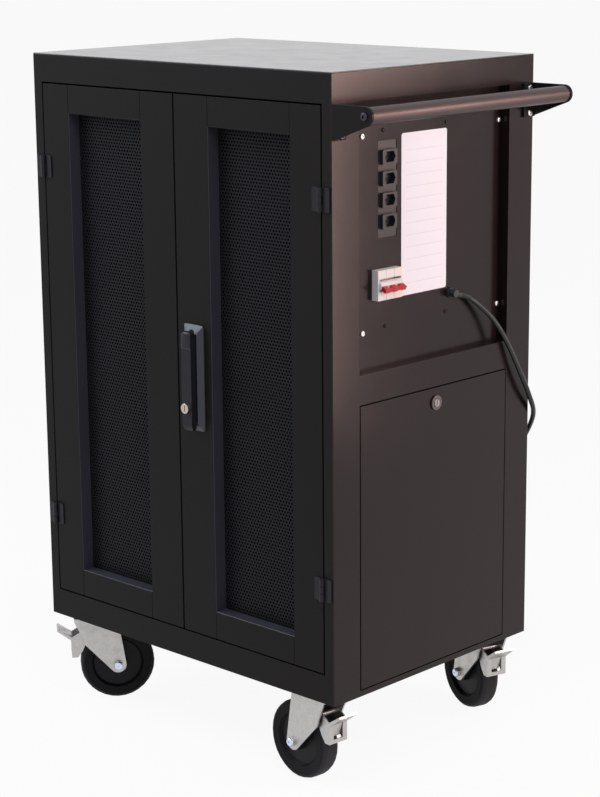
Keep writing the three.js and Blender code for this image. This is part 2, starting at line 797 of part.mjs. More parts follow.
function breakerBody() {
  const z = FLOOR_TO_BODY + BREAKER_Z;
  const back = PANEL_X - SHEET;
  const w = BREAKER_WIDTH / 2;
  const n = BREAKER_NOSE_HEIGHT / 2;
  const b = BREAKER_BODY_HEIGHT / 2;
  const housing = box(
    back - BREAKER_BODY_DEPTH, back, BREAKER_Y - w, BREAKER_Y + w, z - b, z + b,
  );
  const nose = box(back - 1, PANEL_X + BREAKER_NOSE, BREAKER_Y - w, BREAKER_Y + w, z - n, z + n);
  const slot = box(
    toggleX - TOGGLE_DRUM_RADIUS - 1.5,
    PANEL_X + BREAKER_NOSE + 1,
    BREAKER_Y - w + 3,
    BREAKER_Y + w - 3,
    z - TOGGLE_DRUM_RADIUS - 3,
    z + TOGGLE_DRUM_RADIUS + 3,
  );
  const poleLines = [-1, 1].map((i) => {
    const y = BREAKER_Y + (i * BREAKER_WIDTH) / 6;
    const noseX = PANEL_X + BREAKER_NOSE;
    return box(noseX - 0.8, noseX + 1, y - 0.4, y + 0.4, z - n - 1, z + n + 1);
  });
  return cut(join(housing, nose), slot, ...poleLines);
}

// Three finger levers on one drum, tied by a bar, so that the poles switch together.
function breakerToggle() {
  const z = FLOOR_TO_BODY + BREAKER_Z;
  const w = BREAKER_WIDTH / 2 - 3 - TOUCH;
  const fingers = [-1, 0, 1].map((i) => {
    const y = BREAKER_Y + (i * BREAKER_WIDTH) / 3;
    return box(toggleX, toggleX + TOGGLE_REACH, y - 5, y + 5, z - 3, z + 3);
  });
  const tip = toggleX + TOGGLE_REACH;
  const tie = box(tip - 5, tip - 0.5, BREAKER_Y - w, BREAKER_Y + w, z - 2.4, z + 2.4);
  const drum = bar("y", TOGGLE_DRUM_RADIUS, BREAKER_Y - w, BREAKER_Y + w, toggleX, z, 20);
  return join(drum, tie, ...fingers)
    .translate([-toggleX, 0, -z])
    .rotate([0, TOGGLE_REST_DEG, 0])
    .translate([toggleX, 0, z]);
}

// A point on the axis of the gland's outlet, which slopes down towards the back.
function alongGland(reach) {
  const tilt = THREE.MathUtils.degToRad(GLAND_TILT_DEG);
  return [
    PANEL_X + GLAND_STAND,
    GLAND_Y + reach * Math.cos(tilt),
    FLOOR_TO_BODY + GLAND_Z - reach * Math.sin(tilt),
  ];
}

// An elbow gland: a boss on the panel and an outlet that turns the lead towards the back.
function cableGland() {
  const z = FLOOR_TO_BODY + GLAND_Z;
  const stemEnd = PANEL_X + GLAND_STAND + GLAND_STEM_RADIUS;
  const boss = bar("x", GLAND_BOSS_RADIUS, PANEL_X, PANEL_X + 3, GLAND_Y, z, 6);
  const stem = bar("x", GLAND_STEM_RADIUS, PANEL_X + 2, stemEnd, GLAND_Y, z, 18);
  const outlet = bar("y", GLAND_OUTLET_RADIUS, 1, GLAND_REACH, 0, 0, 14);
  const collar = bar("y", GLAND_STEM_RADIUS, GLAND_REACH - 6, GLAND_REACH - 2, 0, 0, 6);
  const elbow = join(outlet, collar).rotate([-GLAND_TILT_DEG, 0, 0]).translate(alongGland(0));
  return join(boss, stem, elbow);
}

// A folded pan with two hooks that seat behind the frame's foot.
function accessPanel() {
  const y = POST_Y - ACCESS_GAP;
  const z0 = FLOOR_TO_BODY + ACCESS_FOOT + ACCESS_GAP;
  const z1 = FLOOR_TO_BODY + ACCESS_TOP - ACCESS_GAP;
  const pan = cut(
    box(HALF_W - ACCESS_DEPTH, HALF_W, -y, y, z0, z1),
    box(
      HALF_W - ACCESS_DEPTH - 1, HALF_W - SHEET, -y + SHEET, y - SHEET, z0 + SHEET, z1 - SHEET,
    ),
  );
  const hookFront = HALF_W - SHEET - 2 * TOUCH;
  const hooks = [-1, 1].map((side) => {
    const y0 = side * (POST_Y - HOOK_INSET) - HOOK_WIDTH / 2;
    const low = z0 - HOOK_DROP;
    return box(hookFront - SHEET, hookFront, y0, y0 + HOOK_WIDTH, low, z0 + 1);
  });
  return cut(
    join(pan, ...hooks),
    bar("x", LOCK_BARREL_RADIUS + TOUCH, HALF_W - 2 * SHEET, HALF_W + 1, 0, FLOOR_TO_BODY + LOCK_Z),
  );
}

const lockBack = KEEPER_X - 1;

function lockBarrel() {
  const z = FLOOR_TO_BODY + LOCK_Z;
  return cut(
    join(
      bar("x", LOCK_HEAD_RADIUS, HALF_W, HALF_W + 3, 0, z),
      bar("x", LOCK_BARREL_RADIUS, lockBack, HALF_W + 1, 0, z),
    ),
    bar("x", LOCK_PLUG_RADIUS + TOUCH, lockBack - 1, HALF_W + 4, 0, z, 16),
  );
}

function lockPlug() {
  const z = FLOOR_TO_BODY + LOCK_Z;
  const face = HALF_W + 3.5;
  const camFront = lockBack - TOUCH;
  const plug = bar("x", LOCK_PLUG_RADIUS, camFront - CAM_GAUGE, face, 0, z, 16);
  const shape = roundedShape(-8, CAM_LENGTH, z - 8, z + 8, 7);
  const cam = slabYZ(shape, camFront - CAM_GAUGE, camFront, 3);
  const keyway = box(face - 2, face + 1, -0.8, 0.8, z - 4, z + 4);
  return cut(join(plug, cam), keyway);
}

// Push handle

function addPushHandle() {
  const z = TOP_Z - TUBE_BELOW_TOP;
  const inner = HALF_D - BRACKET_GAUGE;
  const grip = HALF_W + TUBE_REACH;
  add("push_tube", bar("y", TUBE_RADIUS, -inner, inner, grip, z, 32), "powder_coat");
  add("front_push_bracket", pushBracket(-1, z), "powder_coat");
  add("back_push_bracket", pushBracket(1, z), "powder_coat");
}

function pushBracket(side, z) {
  const top = z + BRACKET_TIP_RADIUS;
  const grip = HALF_W + TUBE_REACH;
  const shape = new THREE.Shape();
  shape.moveTo(HALF_W, top);
  shape.lineTo(HALF_W, top - BRACKET_HEIGHT);
  const slope = Math.atan2(BRACKET_HEIGHT - 2 * BRACKET_TIP_RADIUS, TUBE_REACH);
  shape.absarc(grip, z, BRACKET_TIP_RADIUS, slope - Math.PI / 2, Math.PI / 2);
  const outer = side * HALF_D;
  const inner = side * (HALF_D - BRACKET_GAUGE);
  const plate = slabXZ(shape, Math.min(outer, inner), Math.max(outer, inner), 8);
  const flangeEnd = side * (HALF_D - FLANGE_WIDTH);
  const flange = box(
    HALF_W,
    HALF_W + FLANGE_GAUGE,
    Math.min(outer, flangeEnd),
    Math.max(outer, flangeEnd),
    top - BRACKET_HEIGHT,
    top,
  );
  return join(plate, flange);
}

// Inside: two shelves of laptop slots and a strip of outlets behind each

function addInside() {
  for (const [level, z] of Object.entries(SHELVES)) {
    add(level + "_laptop_rack", laptopRack(z), "powder_coat");
    add(level + "_charging_strip", chargingStrip(z), "black_plastic");
  }
}

function laptopRack(z) {
  const x0 = -HALF_W + SHEET;
  const x1 = PARTITION_X - SHEET;
  const y0 = FRONT + SHELF_FRONT_GAP;
  const y1 = HALF_D - SHEET;
  const shelf = box(x0, x1, y0, y1, z, z + SHEET);
  const pitch = (x1 - x0) / SLOT_COUNT;
  const divider = dividerShape(z, y0 + SHEET, y1 - DIVIDER_BACK_GAP);
  const dividers = [];
  for (let i = 1; i < SLOT_COUNT; i += 1) {
    const x = x0 + i * pitch;
    dividers.push(slabYZ(divider, x - SHEET / 2, x + SHEET / 2, 4));
  }
  return join(shelf, ...dividers);
}

function dividerShape(z, y0, y1) {
  const top = z + SHEET + DIVIDER_HEIGHT;
  const round = DIVIDER_ROUND;
  const shape = new THREE.Shape();
  shape.moveTo(y0, z + SHEET / 2);
  shape.lineTo(y1, z + SHEET / 2);
  shape.lineTo(y1, top);
  shape.lineTo(y0 + round, top);
  shape.absarc(y0 + round, top - round, round, Math.PI / 2, Math.PI);
  return shape;
}

function chargingStrip(shelfZ) {
  const x0 = -HALF_W + SHEET + INNER_STRIP_INSET;
  const x1 = PARTITION_X - SHEET - INNER_STRIP_INSET;
  const back = HALF_D - SHEET;
  const front = back - INNER_STRIP_DEPTH;
  const z0 = shelfZ + INNER_STRIP_ABOVE_SHELF;
  const z1 = z0 + INNER_STRIP_HEIGHT;
  const mid = (z0 + z1) / 2;
  const wells = [];
  const pitch = (x1 - x0) / SLOT_COUNT;
  for (let i = 0; i < SLOT_COUNT; i += 1) {
    const x = x0 + (i + 0.5) * pitch;
    wells.push(bar("y", INNER_WELL_RADIUS, front - 1, front + 3, x, mid, 6));
  }
  return cut(box(x0, x1, front, back, z0, z1), ...wells);
}

// Casters: a plate with its king pin, a fork with its axle, a wheel and a brake pedal

const wheelRadius = WHEEL_DIAMETER / 2;
const axleZ = wheelRadius - CASTER_HEIGHT;
const forkInner = WHEEL_WIDTH / 2 + FORK_CLEAR;
const forkOuter = forkInner + FORK_GAUGE;
const WHEEL_SEGMENTS = 32;
const PLATE_GAUGE = 4;
const PLATE_OUT_X = 28;
const PLATE_IN_X = 44;
const PLATE_OUT_Y = 15;
const PLATE_IN_Y = 56;
const RACE_RADIUS = 15;
const KING_PIN_RADIUS = 7;
const CROWN_TOP = -13;
const CROWN_GAUGE = 5;
const CROWN_BACK = -26;
const CHEEK_FOOT_RADIUS = 14;
const AXLE_HEAD_RADIUS = 8;
const AXLE_HEAD = 5;
const PEDAL_PIN = { x: -7, z: -42 };
const PEDAL_PIN_RADIUS = 3;
const PEDAL_GAUGE = 2;
const PEDAL_HALF = 18;
const PEDAL_FACE = -31;
const PEDAL_FOOT = -83;
const PEDAL_TOP = -48;
const PEDAL_WINDOW = { half: 9.5, low: -77, high: -53 };

function addCasters() {
  for (const [place, yaw] of Object.entries(CASTER_YAWS)) {
    const sx = place.endsWith("left") ? -1 : 1;
    const sy = place.startsWith("front") ? -1 : 1;
    const station = new THREE.Group();
    station.position.set(
      sx * (HALF_W - CASTER_INSET_X), sy * (HALF_D - CASTER_INSET_Y), CASTER_HEIGHT,
    );
    root.add(station);
    const swivel = new THREE.Group();
    swivel.rotation.z = THREE.MathUtils.degToRad(yaw);
    station.add(swivel);
    const name = place + "_caster_";
    add(name + "plate", casterPlate(sx, sy), "zinc", station);
    add(name + "fork", casterFork(), "zinc", swivel);
    add(name + "wheel", casterWheel(), "rubber", swivel);
    add(name + "brake", brakePedal(), "zinc", swivel);
  }
}

// The plate reaches further in under the cabinet than out, where the shell's returns are.
function casterPlate(sx, sy) {
  const crownFoot = CROWN_TOP - CROWN_GAUGE;
  const x = [sx * PLATE_OUT_X, -sx * PLATE_IN_X];
  const y = [sy * PLATE_OUT_Y, -sy * PLATE_IN_Y];
  return join(
    box(Math.min(...x), Math.max(...x), Math.min(...y), Math.max(...y), -PLATE_GAUGE, 0),
    bar("z", RACE_RADIUS, CROWN_TOP + TOUCH, -PLATE_GAUGE, 0, 0, 20),
    bar("z", KING_PIN_RADIUS, crownFoot - 4, -PLATE_GAUGE - 2, 0, 0, 16),
    bar("z", KING_PIN_RADIUS + 5, crownFoot - 4, crownFoot - TOUCH, 0, 0, 6),
  );
}

// One cheek of the fork, drawn in (x, z): wide under the crown and round at the axle.
function cheekShape() {
  const x = CASTER_TRAIL;
  const shape = new THREE.Shape();
  shape.moveTo(CROWN_BACK, CROWN_TOP);
  shape.lineTo(CROWN_BACK + 1, CROWN_TOP - 8);
  shape.lineTo(CROWN_BACK + 12, CROWN_TOP - 31);
  shape.lineTo(CROWN_BACK + 16, CROWN_TOP - 45);
  shape.absarc(x, axleZ, CHEEK_FOOT_RADIUS, 1.23 * Math.PI, 2.03 * Math.PI);
  shape.lineTo(x + 4.5, CROWN_TOP - 22);
  shape.lineTo(x + 1, CROWN_TOP);
  return shape;
}

function casterFork() {
  const cheeks = [
    slabXZ(cheekShape(), -forkOuter, -forkInner, 8),
    slabXZ(cheekShape(), forkInner, forkOuter, 8),
  ];
  const crownFoot = CROWN_TOP - CROWN_GAUGE;
  const crown = box(CROWN_BACK, CASTER_TRAIL + 1, -forkOuter, forkOuter, crownFoot, CROWN_TOP);
  const pinHole = bar("z", KING_PIN_RADIUS + TOUCH, crownFoot - 1, CROWN_TOP + 1, 0, 0, 16);
  const axle = bar("y", AXLE_RADIUS, -forkOuter - 2, forkOuter + 2, CASTER_TRAIL, axleZ, 16);
  const heads = [-1, 1].map((s) => {
    const a = s * (forkOuter - 0.5);
    const b = s * (forkOuter + AXLE_HEAD);
    return bar("y", AXLE_HEAD_RADIUS, Math.min(a, b), Math.max(a, b), CASTER_TRAIL, axleZ, 6);
  });
  const { x, z } = PEDAL_PIN;
  const pedalPin = bar("y", PEDAL_PIN_RADIUS, -forkOuter, forkOuter, x, z, 12);
  return join(cut(join(crown, ...cheeks), pinHole), axle, ...heads, pedalPin);
}

// The wheel's section, turned about its axle: a rounded tyre, a step, a dished hub and the bore.
function casterWheel() {
  const w = WHEEL_WIDTH / 2;
  const bore = AXLE_RADIUS + TOUCH;
  const hub = w + FORK_CLEAR - 1;
  const half = [
    [bore, hub],
    [bore + 9, hub],
    [bore + 10, w - 6],
    [wheelRadius * 0.64, w - 7],
    [wheelRadius * 0.7, w - 1.5],
    [wheelRadius * 0.9, w],
    [wheelRadius * 0.97, w - 3.5],
    [wheelRadius, w - 9],
  ];
  const mirrored = half.map(([r, y]) => [r, -y]).reverse();
  const profile = [...half, ...mirrored, half[0]].map(([r, y]) => new THREE.Vector2(r, y));
  const geometry = new THREE.LatheGeometry(profile.reverse(), WHEEL_SEGMENTS);
  geometry.translate(CASTER_TRAIL, 0, axleZ);
  return toSolid(geometry);
}

// A pressed channel that hangs ahead of the wheel: a tab is bent in from its window, a lip out for the foot.
function brakePedal() {
  const { x, z } = PEDAL_PIN;
  const face = PEDAL_FACE;
  const inner = face + PEDAL_GAUGE;
  const half = PEDAL_HALF;
  const { low, high } = PEDAL_WINDOW;
  const web = box(face, inner, -half, half, PEDAL_FOOT, PEDAL_TOP);
  const window = box(face - 1, inner + 1, -PEDAL_WINDOW.half, PEDAL_WINDOW.half, low, high);
  const tab = polygon([
    [face, high + 2],
    [face + 6, low + 3],
    [face + 8, low + 3],
    [inner + 0.5, high + 2],
  ]);
  const flange = polygon([
    [face, PEDAL_FOOT],
    [face, PEDAL_TOP],
    [x - 4, z + 6],
    [x + 5, z + 5],
    [x + 5, z - 6],
    [x - 6, z - 30],
    [face + 10, PEDAL_FOOT],
  ]);
  const flanges = [
    slabXZ(flange, -half, -half + PEDAL_GAUGE),
    slabXZ(flange, half - PEDAL_GAUGE, half),
  ];
  const tongue = polygon([
    [inner, PEDAL_TOP],
    [face - 22, PEDAL_TOP + 16],
    [face - 24, PEDAL_TOP + 13],
    [face, PEDAL_TOP - 5],
  ]);
  const pinHole = bar("y", PEDAL_PIN_RADIUS + TOUCH, -half - 1, half + 1, x, z, 12);
  const lip = slabXZ(tongue, -half, half);
  const bent = slabXZ(tab, -PEDAL_WINDOW.half + 1, PEDAL_WINDOW.half - 1);
  return cut(join(cut(web, window), bent, ...flanges, lip), pinHole);
}

// Mains lead: a free stretch from the gland to the floor, then a tied coil and a plug

const CORD_POINTS = [
  alongGland(GLAND_REACH + TOUCH),
  alongGland(GLAND_REACH + CORD_RADIUS * 2),
  [317.8, 86.5, 724.6],
  [320.2, 99, 716.3],
  [325.5, 128, 692],
  [329, 146, 671],
  [333.5, 168, 637],
  [337, 190, 596],
  [337, 215, 554],
  [329, 239, 518],
  [309, 252, 484],
  [275, 256, 436],
  [215, 257, 357],
  [145, 258, 264],
  [90, 260, 172],
  [45, 263, 92],
  [5, 268, 38],
  [-40, 274.5, 11],
  [COIL_X + 40, COIL_Y - COIL_OUTER_RADIUS, CORD_RADIUS + TOUCH],
  [COIL_X + COIL_LEAD_IN + TOUCH, COIL_Y - COIL_OUTER_RADIUS, CORD_RADIUS + TOUCH],
].map((p) => new THREE.Vector3(...p));

function addCord() {
  const route = new THREE.CatmullRomCurve3(CORD_POINTS, false, "centripetal");
  const section = polygon(
    Array.from({ length: CORD_SIDES }, (_, i) => {
      const a = (2 * Math.PI * i) / CORD_SIDES;
      return [CORD_RADIUS * Math.cos(a), CORD_RADIUS * Math.sin(a)];
    }),
  );
  const lead = new THREE.ExtrudeGeometry(section, { steps: CORD_STEPS, extrudePath: route });
  add("mains_lead", toSolid(lead), "black_plastic");
  const coil = coilPoints();
  add("mains_lead_coil", toSolid(tube(coil, CORD_RADIUS, COIL_SIDES)), "black_plastic");
  add("coil_tie", coilTie(), "black_plastic");
  add("mains_plug", mainsPlug(), "black_plastic");
  const length = route.getLength() + pathLength(coil);
  console.log("lead", Math.round(length), "mm, least gap in the coil", selfGap(coil).toFixed(2), "mm");
}

// The coil winds in and out in flat layers, each a cord's width above the last, then leaves to the plug.
function coilPoints() {
  const layerTurns = (COIL_TURNS - (COIL_LAYERS - 1) * COIL_RISE_TURNS) / COIL_LAYERS;
  const floor = CORD_RADIUS + TOUCH;
  const points = [new THREE.Vector3(COIL_X + COIL_LEAD_IN, COIL_Y - COIL_OUTER_RADIUS, floor)];
  const steps = Math.round(COIL_TURNS * COIL_STEPS_PER_TURN);
  for (let i = 0; i <= steps; i += 1) {
    const turn = (i / steps) * COIL_TURNS;
    const layer = Math.min(Math.floor(turn / (layerTurns + COIL_RISE_TURNS)), COIL_LAYERS - 1);
    const within = turn - layer * (layerTurns + COIL_RISE_TURNS);
    const along = Math.min(within, layerTurns);
    const inward = layer % 2 === 0 ? along : layerTurns - along;
    const rise = THREE.MathUtils.smoothstep(within, layerTurns, layerTurns + COIL_RISE_TURNS);
    const radius = COIL_OUTER_RADIUS - COIL_PITCH * inward;
    const angle = -Math.PI / 2 - 2 * Math.PI * turn;
    points.push(
      new THREE.Vector3(
        COIL_X + radius * Math.cos(angle),
        COIL_Y + radius * Math.sin(angle),
        floor + COIL_PITCH * (layer + rise),
      ),
    );
  }
  const end = points[points.length - 1];
  const tailSteps = 6;
  for (let i = 1; i <= tailSteps; i += 1) {
    const t = i / tailSteps;
    const drop = (end.z - PLUG_AXIS_Z) * THREE.MathUtils.smoothstep(t, 0.25, 1 - 1 / tailSteps);
    points.push(new THREE.Vector3(end.x + TAIL_LENGTH * t, end.y, end.z - drop));
  }
  return points;
}

// A closed tube of flat facets along a list of points, upright where it can be.
function tube(points, radius, sides) {
  const position = [];
  const index = [];
  points.forEach((p, i) => {
    const before = points[Math.max(i - 1, 0)];
    const after = points[Math.min(i + 1, points.length - 1)];
    const along = new THREE.Vector3().subVectors(after, before).normalize();
    const across = new THREE.Vector3(along.y, -along.x, 0).normalize();
    const up = new THREE.Vector3().crossVectors(across, along);
    for (let k = 0; k < sides; k += 1) {
      const a = (2 * Math.PI * k) / sides;
      const v = p.clone();
      v.addScaledVector(across, radius * Math.cos(a));
      v.addScaledVector(up, radius * Math.sin(a));
      position.push(v.x, v.y, v.z);
    }
  });
  const last = points.length - 1;
  for (let i = 0; i < last; i += 1) {
    for (let k = 0; k < sides; k += 1) {
      const n = (k + 1) % sides;
      const a = i * sides;
      const b = a + sides;
      index.push(a + k, b + k, a + n, a + n, b + k, b + n);
    }
  }
  for (let k = 1; k < sides - 1; k += 1) {
    index.push(0, k, k + 1);
    index.push(last * sides, last * sides + k + 1, last * sides + k);
  }
  const geometry = new THREE.BufferGeometry();
  geometry.setAttribute("position", new THREE.Float32BufferAttribute(position, 3));
  geometry.setIndex(index);
  return geometry;
}

function pathLength(points) {
  let length = 0;
  for (let i = 1; i < points.length; i += 1) {
    length += points[i].distanceTo(points[i - 1]);
  }
  return length;
}

// The least clear distance between stretches of the coil that are not neighbours along it.
function selfGap(points) {
  const apart = Math.round(COIL_STEPS_PER_TURN / 3);
  const line = new THREE.Line3();
  const nearest = new THREE.Vector3();
  let least = Infinity;
  for (let i = 0; i < points.length; i += 1) {
    for (let j = i + apart; j < points.length - 1; j += 1) {
      line.set(points[j], points[j + 1]);
      line.closestPointToPoint(points[i], true, nearest);
      least = Math.min(least, nearest.distanceTo(points[i]) - 2 * CORD_RADIUS);
    }
  }
  return least;
}

// A strap round all the turns on the side away from the plug.
function coilTie() {
  const inner = COIL_OUTER_RADIUS - COIL_PITCH * (COIL_TURNS / COIL_LAYERS) - CORD_RADIUS;
  const outer = COIL_OUTER_RADIUS + CORD_RADIUS;
  const height = 2 * CORD_RADIUS + COIL_PITCH * (COIL_LAYERS - 1) + TOUCH;
  const x0 = COIL_X - outer - TIE_CLEAR;
  const x1 = COIL_X - inner + TIE_CLEAR;
  const y0 = COIL_Y - TIE_WIDTH / 2;
  const y1 = COIL_Y + TIE_WIDTH / 2;
  const g = TIE_GAUGE;
  return cut(
    box(x0 - g, x1 + g, y0, y1, 0, height + TIE_CLEAR + g),
    box(x0, x1, y0 - 1, y1 + 1, -1, height + TIE_CLEAR),
  );
}

// A round-shouldered plug with three pins, lying at the end of the lead.
function mainsPlug() {
  const x0 = COIL_X + TAIL_LENGTH + TOUCH;
  const y = COIL_Y + COIL_OUTER_RADIUS;
  const profile = [
    [0, 0],
    [CORD_RADIUS + 2, 0],
    [CORD_RADIUS + 3, 12],
    [PLUG_RADIUS, 18],
    [PLUG_RADIUS, PLUG_LENGTH],
    [0, PLUG_LENGTH],
  ].map(([r, x]) => new THREE.Vector2(r, x));
  const body = new THREE.LatheGeometry(profile, 20);
  body.rotateZ(-Math.PI / 2);
  body.translate(x0, y, PLUG_AXIS_Z);
  const pins = [-1, 0, 1].map((i) => {
    const z = PLUG_AXIS_Z + (i === 0 ? 3 : 0);
    return bar("x", 2.4, x0 + PLUG_LENGTH - 1, x0 + PLUG_LENGTH + 19, y + i * 9.5, z, 10);
  });
  return join(toSolid(body), ...pins);
}

addShell();
addDoors();
addHandle();
addControls();
addPushHandle();
addInside();
addCasters();
addCord();

// The origin sits on the floor under the middle of the cart, its lead left out.
const CORD_NAMES = ["mains_lead", "mains_lead_coil", "coil_tie", "mains_plug"];
root.updateMatrixWorld(true);
const extent = new THREE.Box3();
root.traverse((node) => {
  if (node.isMesh && !CORD_NAMES.includes(node.name)) {
    extent.expandByObject(node, true);
  }
});
const middle = extent.getCenter(new THREE.Vector3());
root.position.set(-middle.x, -middle.y, -extent.min.z);

export default root;
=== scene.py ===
"""Looks for a laptop charging cart: paint, mesh doors, control side, push handle, lead and casters.

Lengths are metres. A name that ends in _MM holds millimetres in the cart's own axes: x towards the
control side and y towards the back, both from the middle of the cabinet, and z up from the floor.
"""

import json
import math

import bmesh
import bpy
from bpy.props import FloatProperty, FloatVectorProperty, IntProperty, PointerProperty
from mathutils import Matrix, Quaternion, Vector


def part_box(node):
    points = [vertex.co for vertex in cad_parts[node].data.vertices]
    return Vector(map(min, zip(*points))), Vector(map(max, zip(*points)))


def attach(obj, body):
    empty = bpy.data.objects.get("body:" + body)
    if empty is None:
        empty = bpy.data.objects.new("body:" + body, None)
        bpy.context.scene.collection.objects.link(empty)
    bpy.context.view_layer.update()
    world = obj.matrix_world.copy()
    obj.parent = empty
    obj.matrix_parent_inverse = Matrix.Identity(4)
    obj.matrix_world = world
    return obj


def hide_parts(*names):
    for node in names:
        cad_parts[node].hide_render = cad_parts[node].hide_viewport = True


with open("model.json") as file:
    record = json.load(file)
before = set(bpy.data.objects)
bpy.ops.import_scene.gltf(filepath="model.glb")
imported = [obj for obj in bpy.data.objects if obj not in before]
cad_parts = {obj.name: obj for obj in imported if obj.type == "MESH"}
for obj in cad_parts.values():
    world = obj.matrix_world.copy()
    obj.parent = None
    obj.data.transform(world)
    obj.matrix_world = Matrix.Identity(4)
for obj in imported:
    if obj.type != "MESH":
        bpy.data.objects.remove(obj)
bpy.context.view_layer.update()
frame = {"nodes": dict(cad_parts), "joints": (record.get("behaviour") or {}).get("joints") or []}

bl_info = {
    "name": "Laptop charging cart",
    "version": (1, 0, 0),
    "blender": (4, 5, 0),
    "location": "View3D > Sidebar > Cart",
    "description": "Dresses the cart's solids with paint, grilles, fasteners, a lead and a stage",
    "category": "Object",
}

MM = 0.001
MERGE = 0.01 * MM
TOP_LOW, TOP_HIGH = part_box("cabinet_top")
MIDDLE = (TOP_LOW + TOP_HIGH) / 2
BODY_FOOT_MM = 148.0
CASTER_PLACES = ("front_left", "front_right", "back_left", "back_right")
SEEN_RAYS = ("Is Camera Ray", "Is Glossy Ray", "Is Transmission Ray")

# Keywords that like settings share
COLOUR = {"subtype": "COLOR", "size": 4, "min": 0, "max": 1}
FACTOR = {"subtype": "FACTOR", "min": 0, "max": 1}
POWER = {"unit": "POWER", "min": 0}


def cart(x, y, z):
    """A point given in the cart's millimetres, in the frame's metres."""
    return Vector((MIDDLE.x + x * MM, MIDDLE.y + y * MM, z * MM))


def srgb(red, green, blue):
    """A colour as it is seen on a screen, 0 to 255, as linear light."""
    linear = [
        c / 12.92 if c <= 0.04045 else ((c + 0.055) / 1.055) ** 2.4
        for c in (red / 255, green / 255, blue / 255)
    ]
    return (*linear, 1.0)


class CartFinishes(bpy.types.PropertyGroup):
    """Colours and surface of the cart's materials."""

    paint: FloatVectorProperty(
        name="Paint",
        description="Colour of the powder coat",
        default=srgb(27, 24, 25),
        **COLOUR,
    )
    paint_roughness: FloatProperty(
        name="Paint roughness",
        description="How matt the powder coat is",
        default=0.4,
        **FACTOR,
    )
    zinc: FloatVectorProperty(
        name="Zinc",
        description="Colour of the plated caster parts",
        default=srgb(192, 190, 188),
        **COLOUR,
    )
    rubber: FloatVectorProperty(
        name="Rubber",
        description="Colour of the tyres",
        default=srgb(20, 20, 22),
        **COLOUR,
    )
    label: FloatVectorProperty(
        name="Label",
        description="Colour of the blank card on the control panel",
        default=srgb(236, 241, 252),
        **COLOUR,
    )
    toggle: FloatVectorProperty(
        name="Toggle",
        description="Colour of the breaker's levers",
        default=srgb(196, 40, 44),
        **COLOUR,
    )
    side_roughness: FloatProperty(
        name="Side roughness",
        description="How matt the coat of the control side is",
        default=0.22,
        **FACTOR,
    )
    edge: FloatProperty(
        name="Edge",
        description="Radius that the folded edges are rounded to",
        unit="LENGTH",
        default=0.7 * MM,
        min=0,
    )


class CartGrille(bpy.types.PropertyGroup):
    """The perforated sheet in each door."""

    pitch: FloatProperty(
        name="Pitch",
        description="Distance from hole to hole along a row",
        unit="LENGTH",
        default=6.0 * MM,
        min=2 * MM,
    )
    bridge: FloatProperty(
        name="Bridge",
        description="Width of the metal left between two holes",
        unit="LENGTH",
        default=2.6 * MM,
        min=0.3 * MM,
    )


class CartLead(bpy.types.PropertyGroup):
    """The mains lead."""

    diameter: FloatProperty(
        name="Diameter",
        description="Thickness of the lead",
        unit="LENGTH",
        default=8.0 * MM,
        min=1 * MM,
    )
    steps_per_turn: IntProperty(
        name="Steps per turn",
        description="Points along each turn of the coil",
        default=48,
        min=12,
    )


class CartStage(bpy.types.PropertyGroup):
    """Strength of the lamps and of the light all round."""

    ambient: FloatProperty(
        name="Ambient",
        description="Strength of the even light from all round",
        default=0.25,
        min=0,
    )
    key: FloatProperty(
        name="Key",
        description="Power of the large lamp off the front corner of the control side",
        default=5.0,
        **POWER,
    )
    side: FloatProperty(
        name="Side",
        description="Power of the warm upright lamp beyond the control side",
        default=4.8,
        **POWER,
    )
    rail: FloatProperty(
        name="Rail",
        description="Power of the warm level lamp that the push handle mirrors",
        default=4.4,
        **POWER,
    )
    back: FloatProperty(
        name="Back",
        description="Power of the cool lamp behind the top",
        default=3.0,
        **POWER,
    )
    left: FloatProperty(
        name="Left",
        description="Power of the cool lamp above the left door",
        default=22.0,
        **POWER,
    )
    overhead: FloatProperty(
        name="Overhead",
        description="Power of the cool lamp high in front of the right door",
        default=20.0,
        **POWER,
    )


class Value:
    """One output of a shader node. Sums and products of values add Math nodes."""

    def __init__(self, finish, socket):
        self.finish = finish
        self.socket = socket

    def math(self, operation, *others):
        inputs = {0: self}
        inputs.update(enumerate(others, 1))
        return self.finish.node("ShaderNodeMath", {"operation": operation}, inputs)

    def __add__(self, other):
        return self.math("ADD", other)

    __radd__ = __add__

    def __mul__(self, other):
        return self.math("MULTIPLY", other)

    def __sub__(self, other):
        return self.math("SUBTRACT", other)

    def __rsub__(self, other):
        return self.finish.node("ShaderNodeMath", {"operation": "SUBTRACT"}, {0: other, 1: self})

    def __abs__(self):
        return self.math("ABSOLUTE")

    def smooth(self, low, high):
        """0 below low, 1 above high, and a smooth step between."""
        settings = {"interpolation_type": "SMOOTHSTEP"}
        inputs = {"Value": self, "From Min": low, "From Max": high}
        return self.finish.node("ShaderNodeMapRange", settings, inputs)


COAT_ROUGHNESS = 0.18


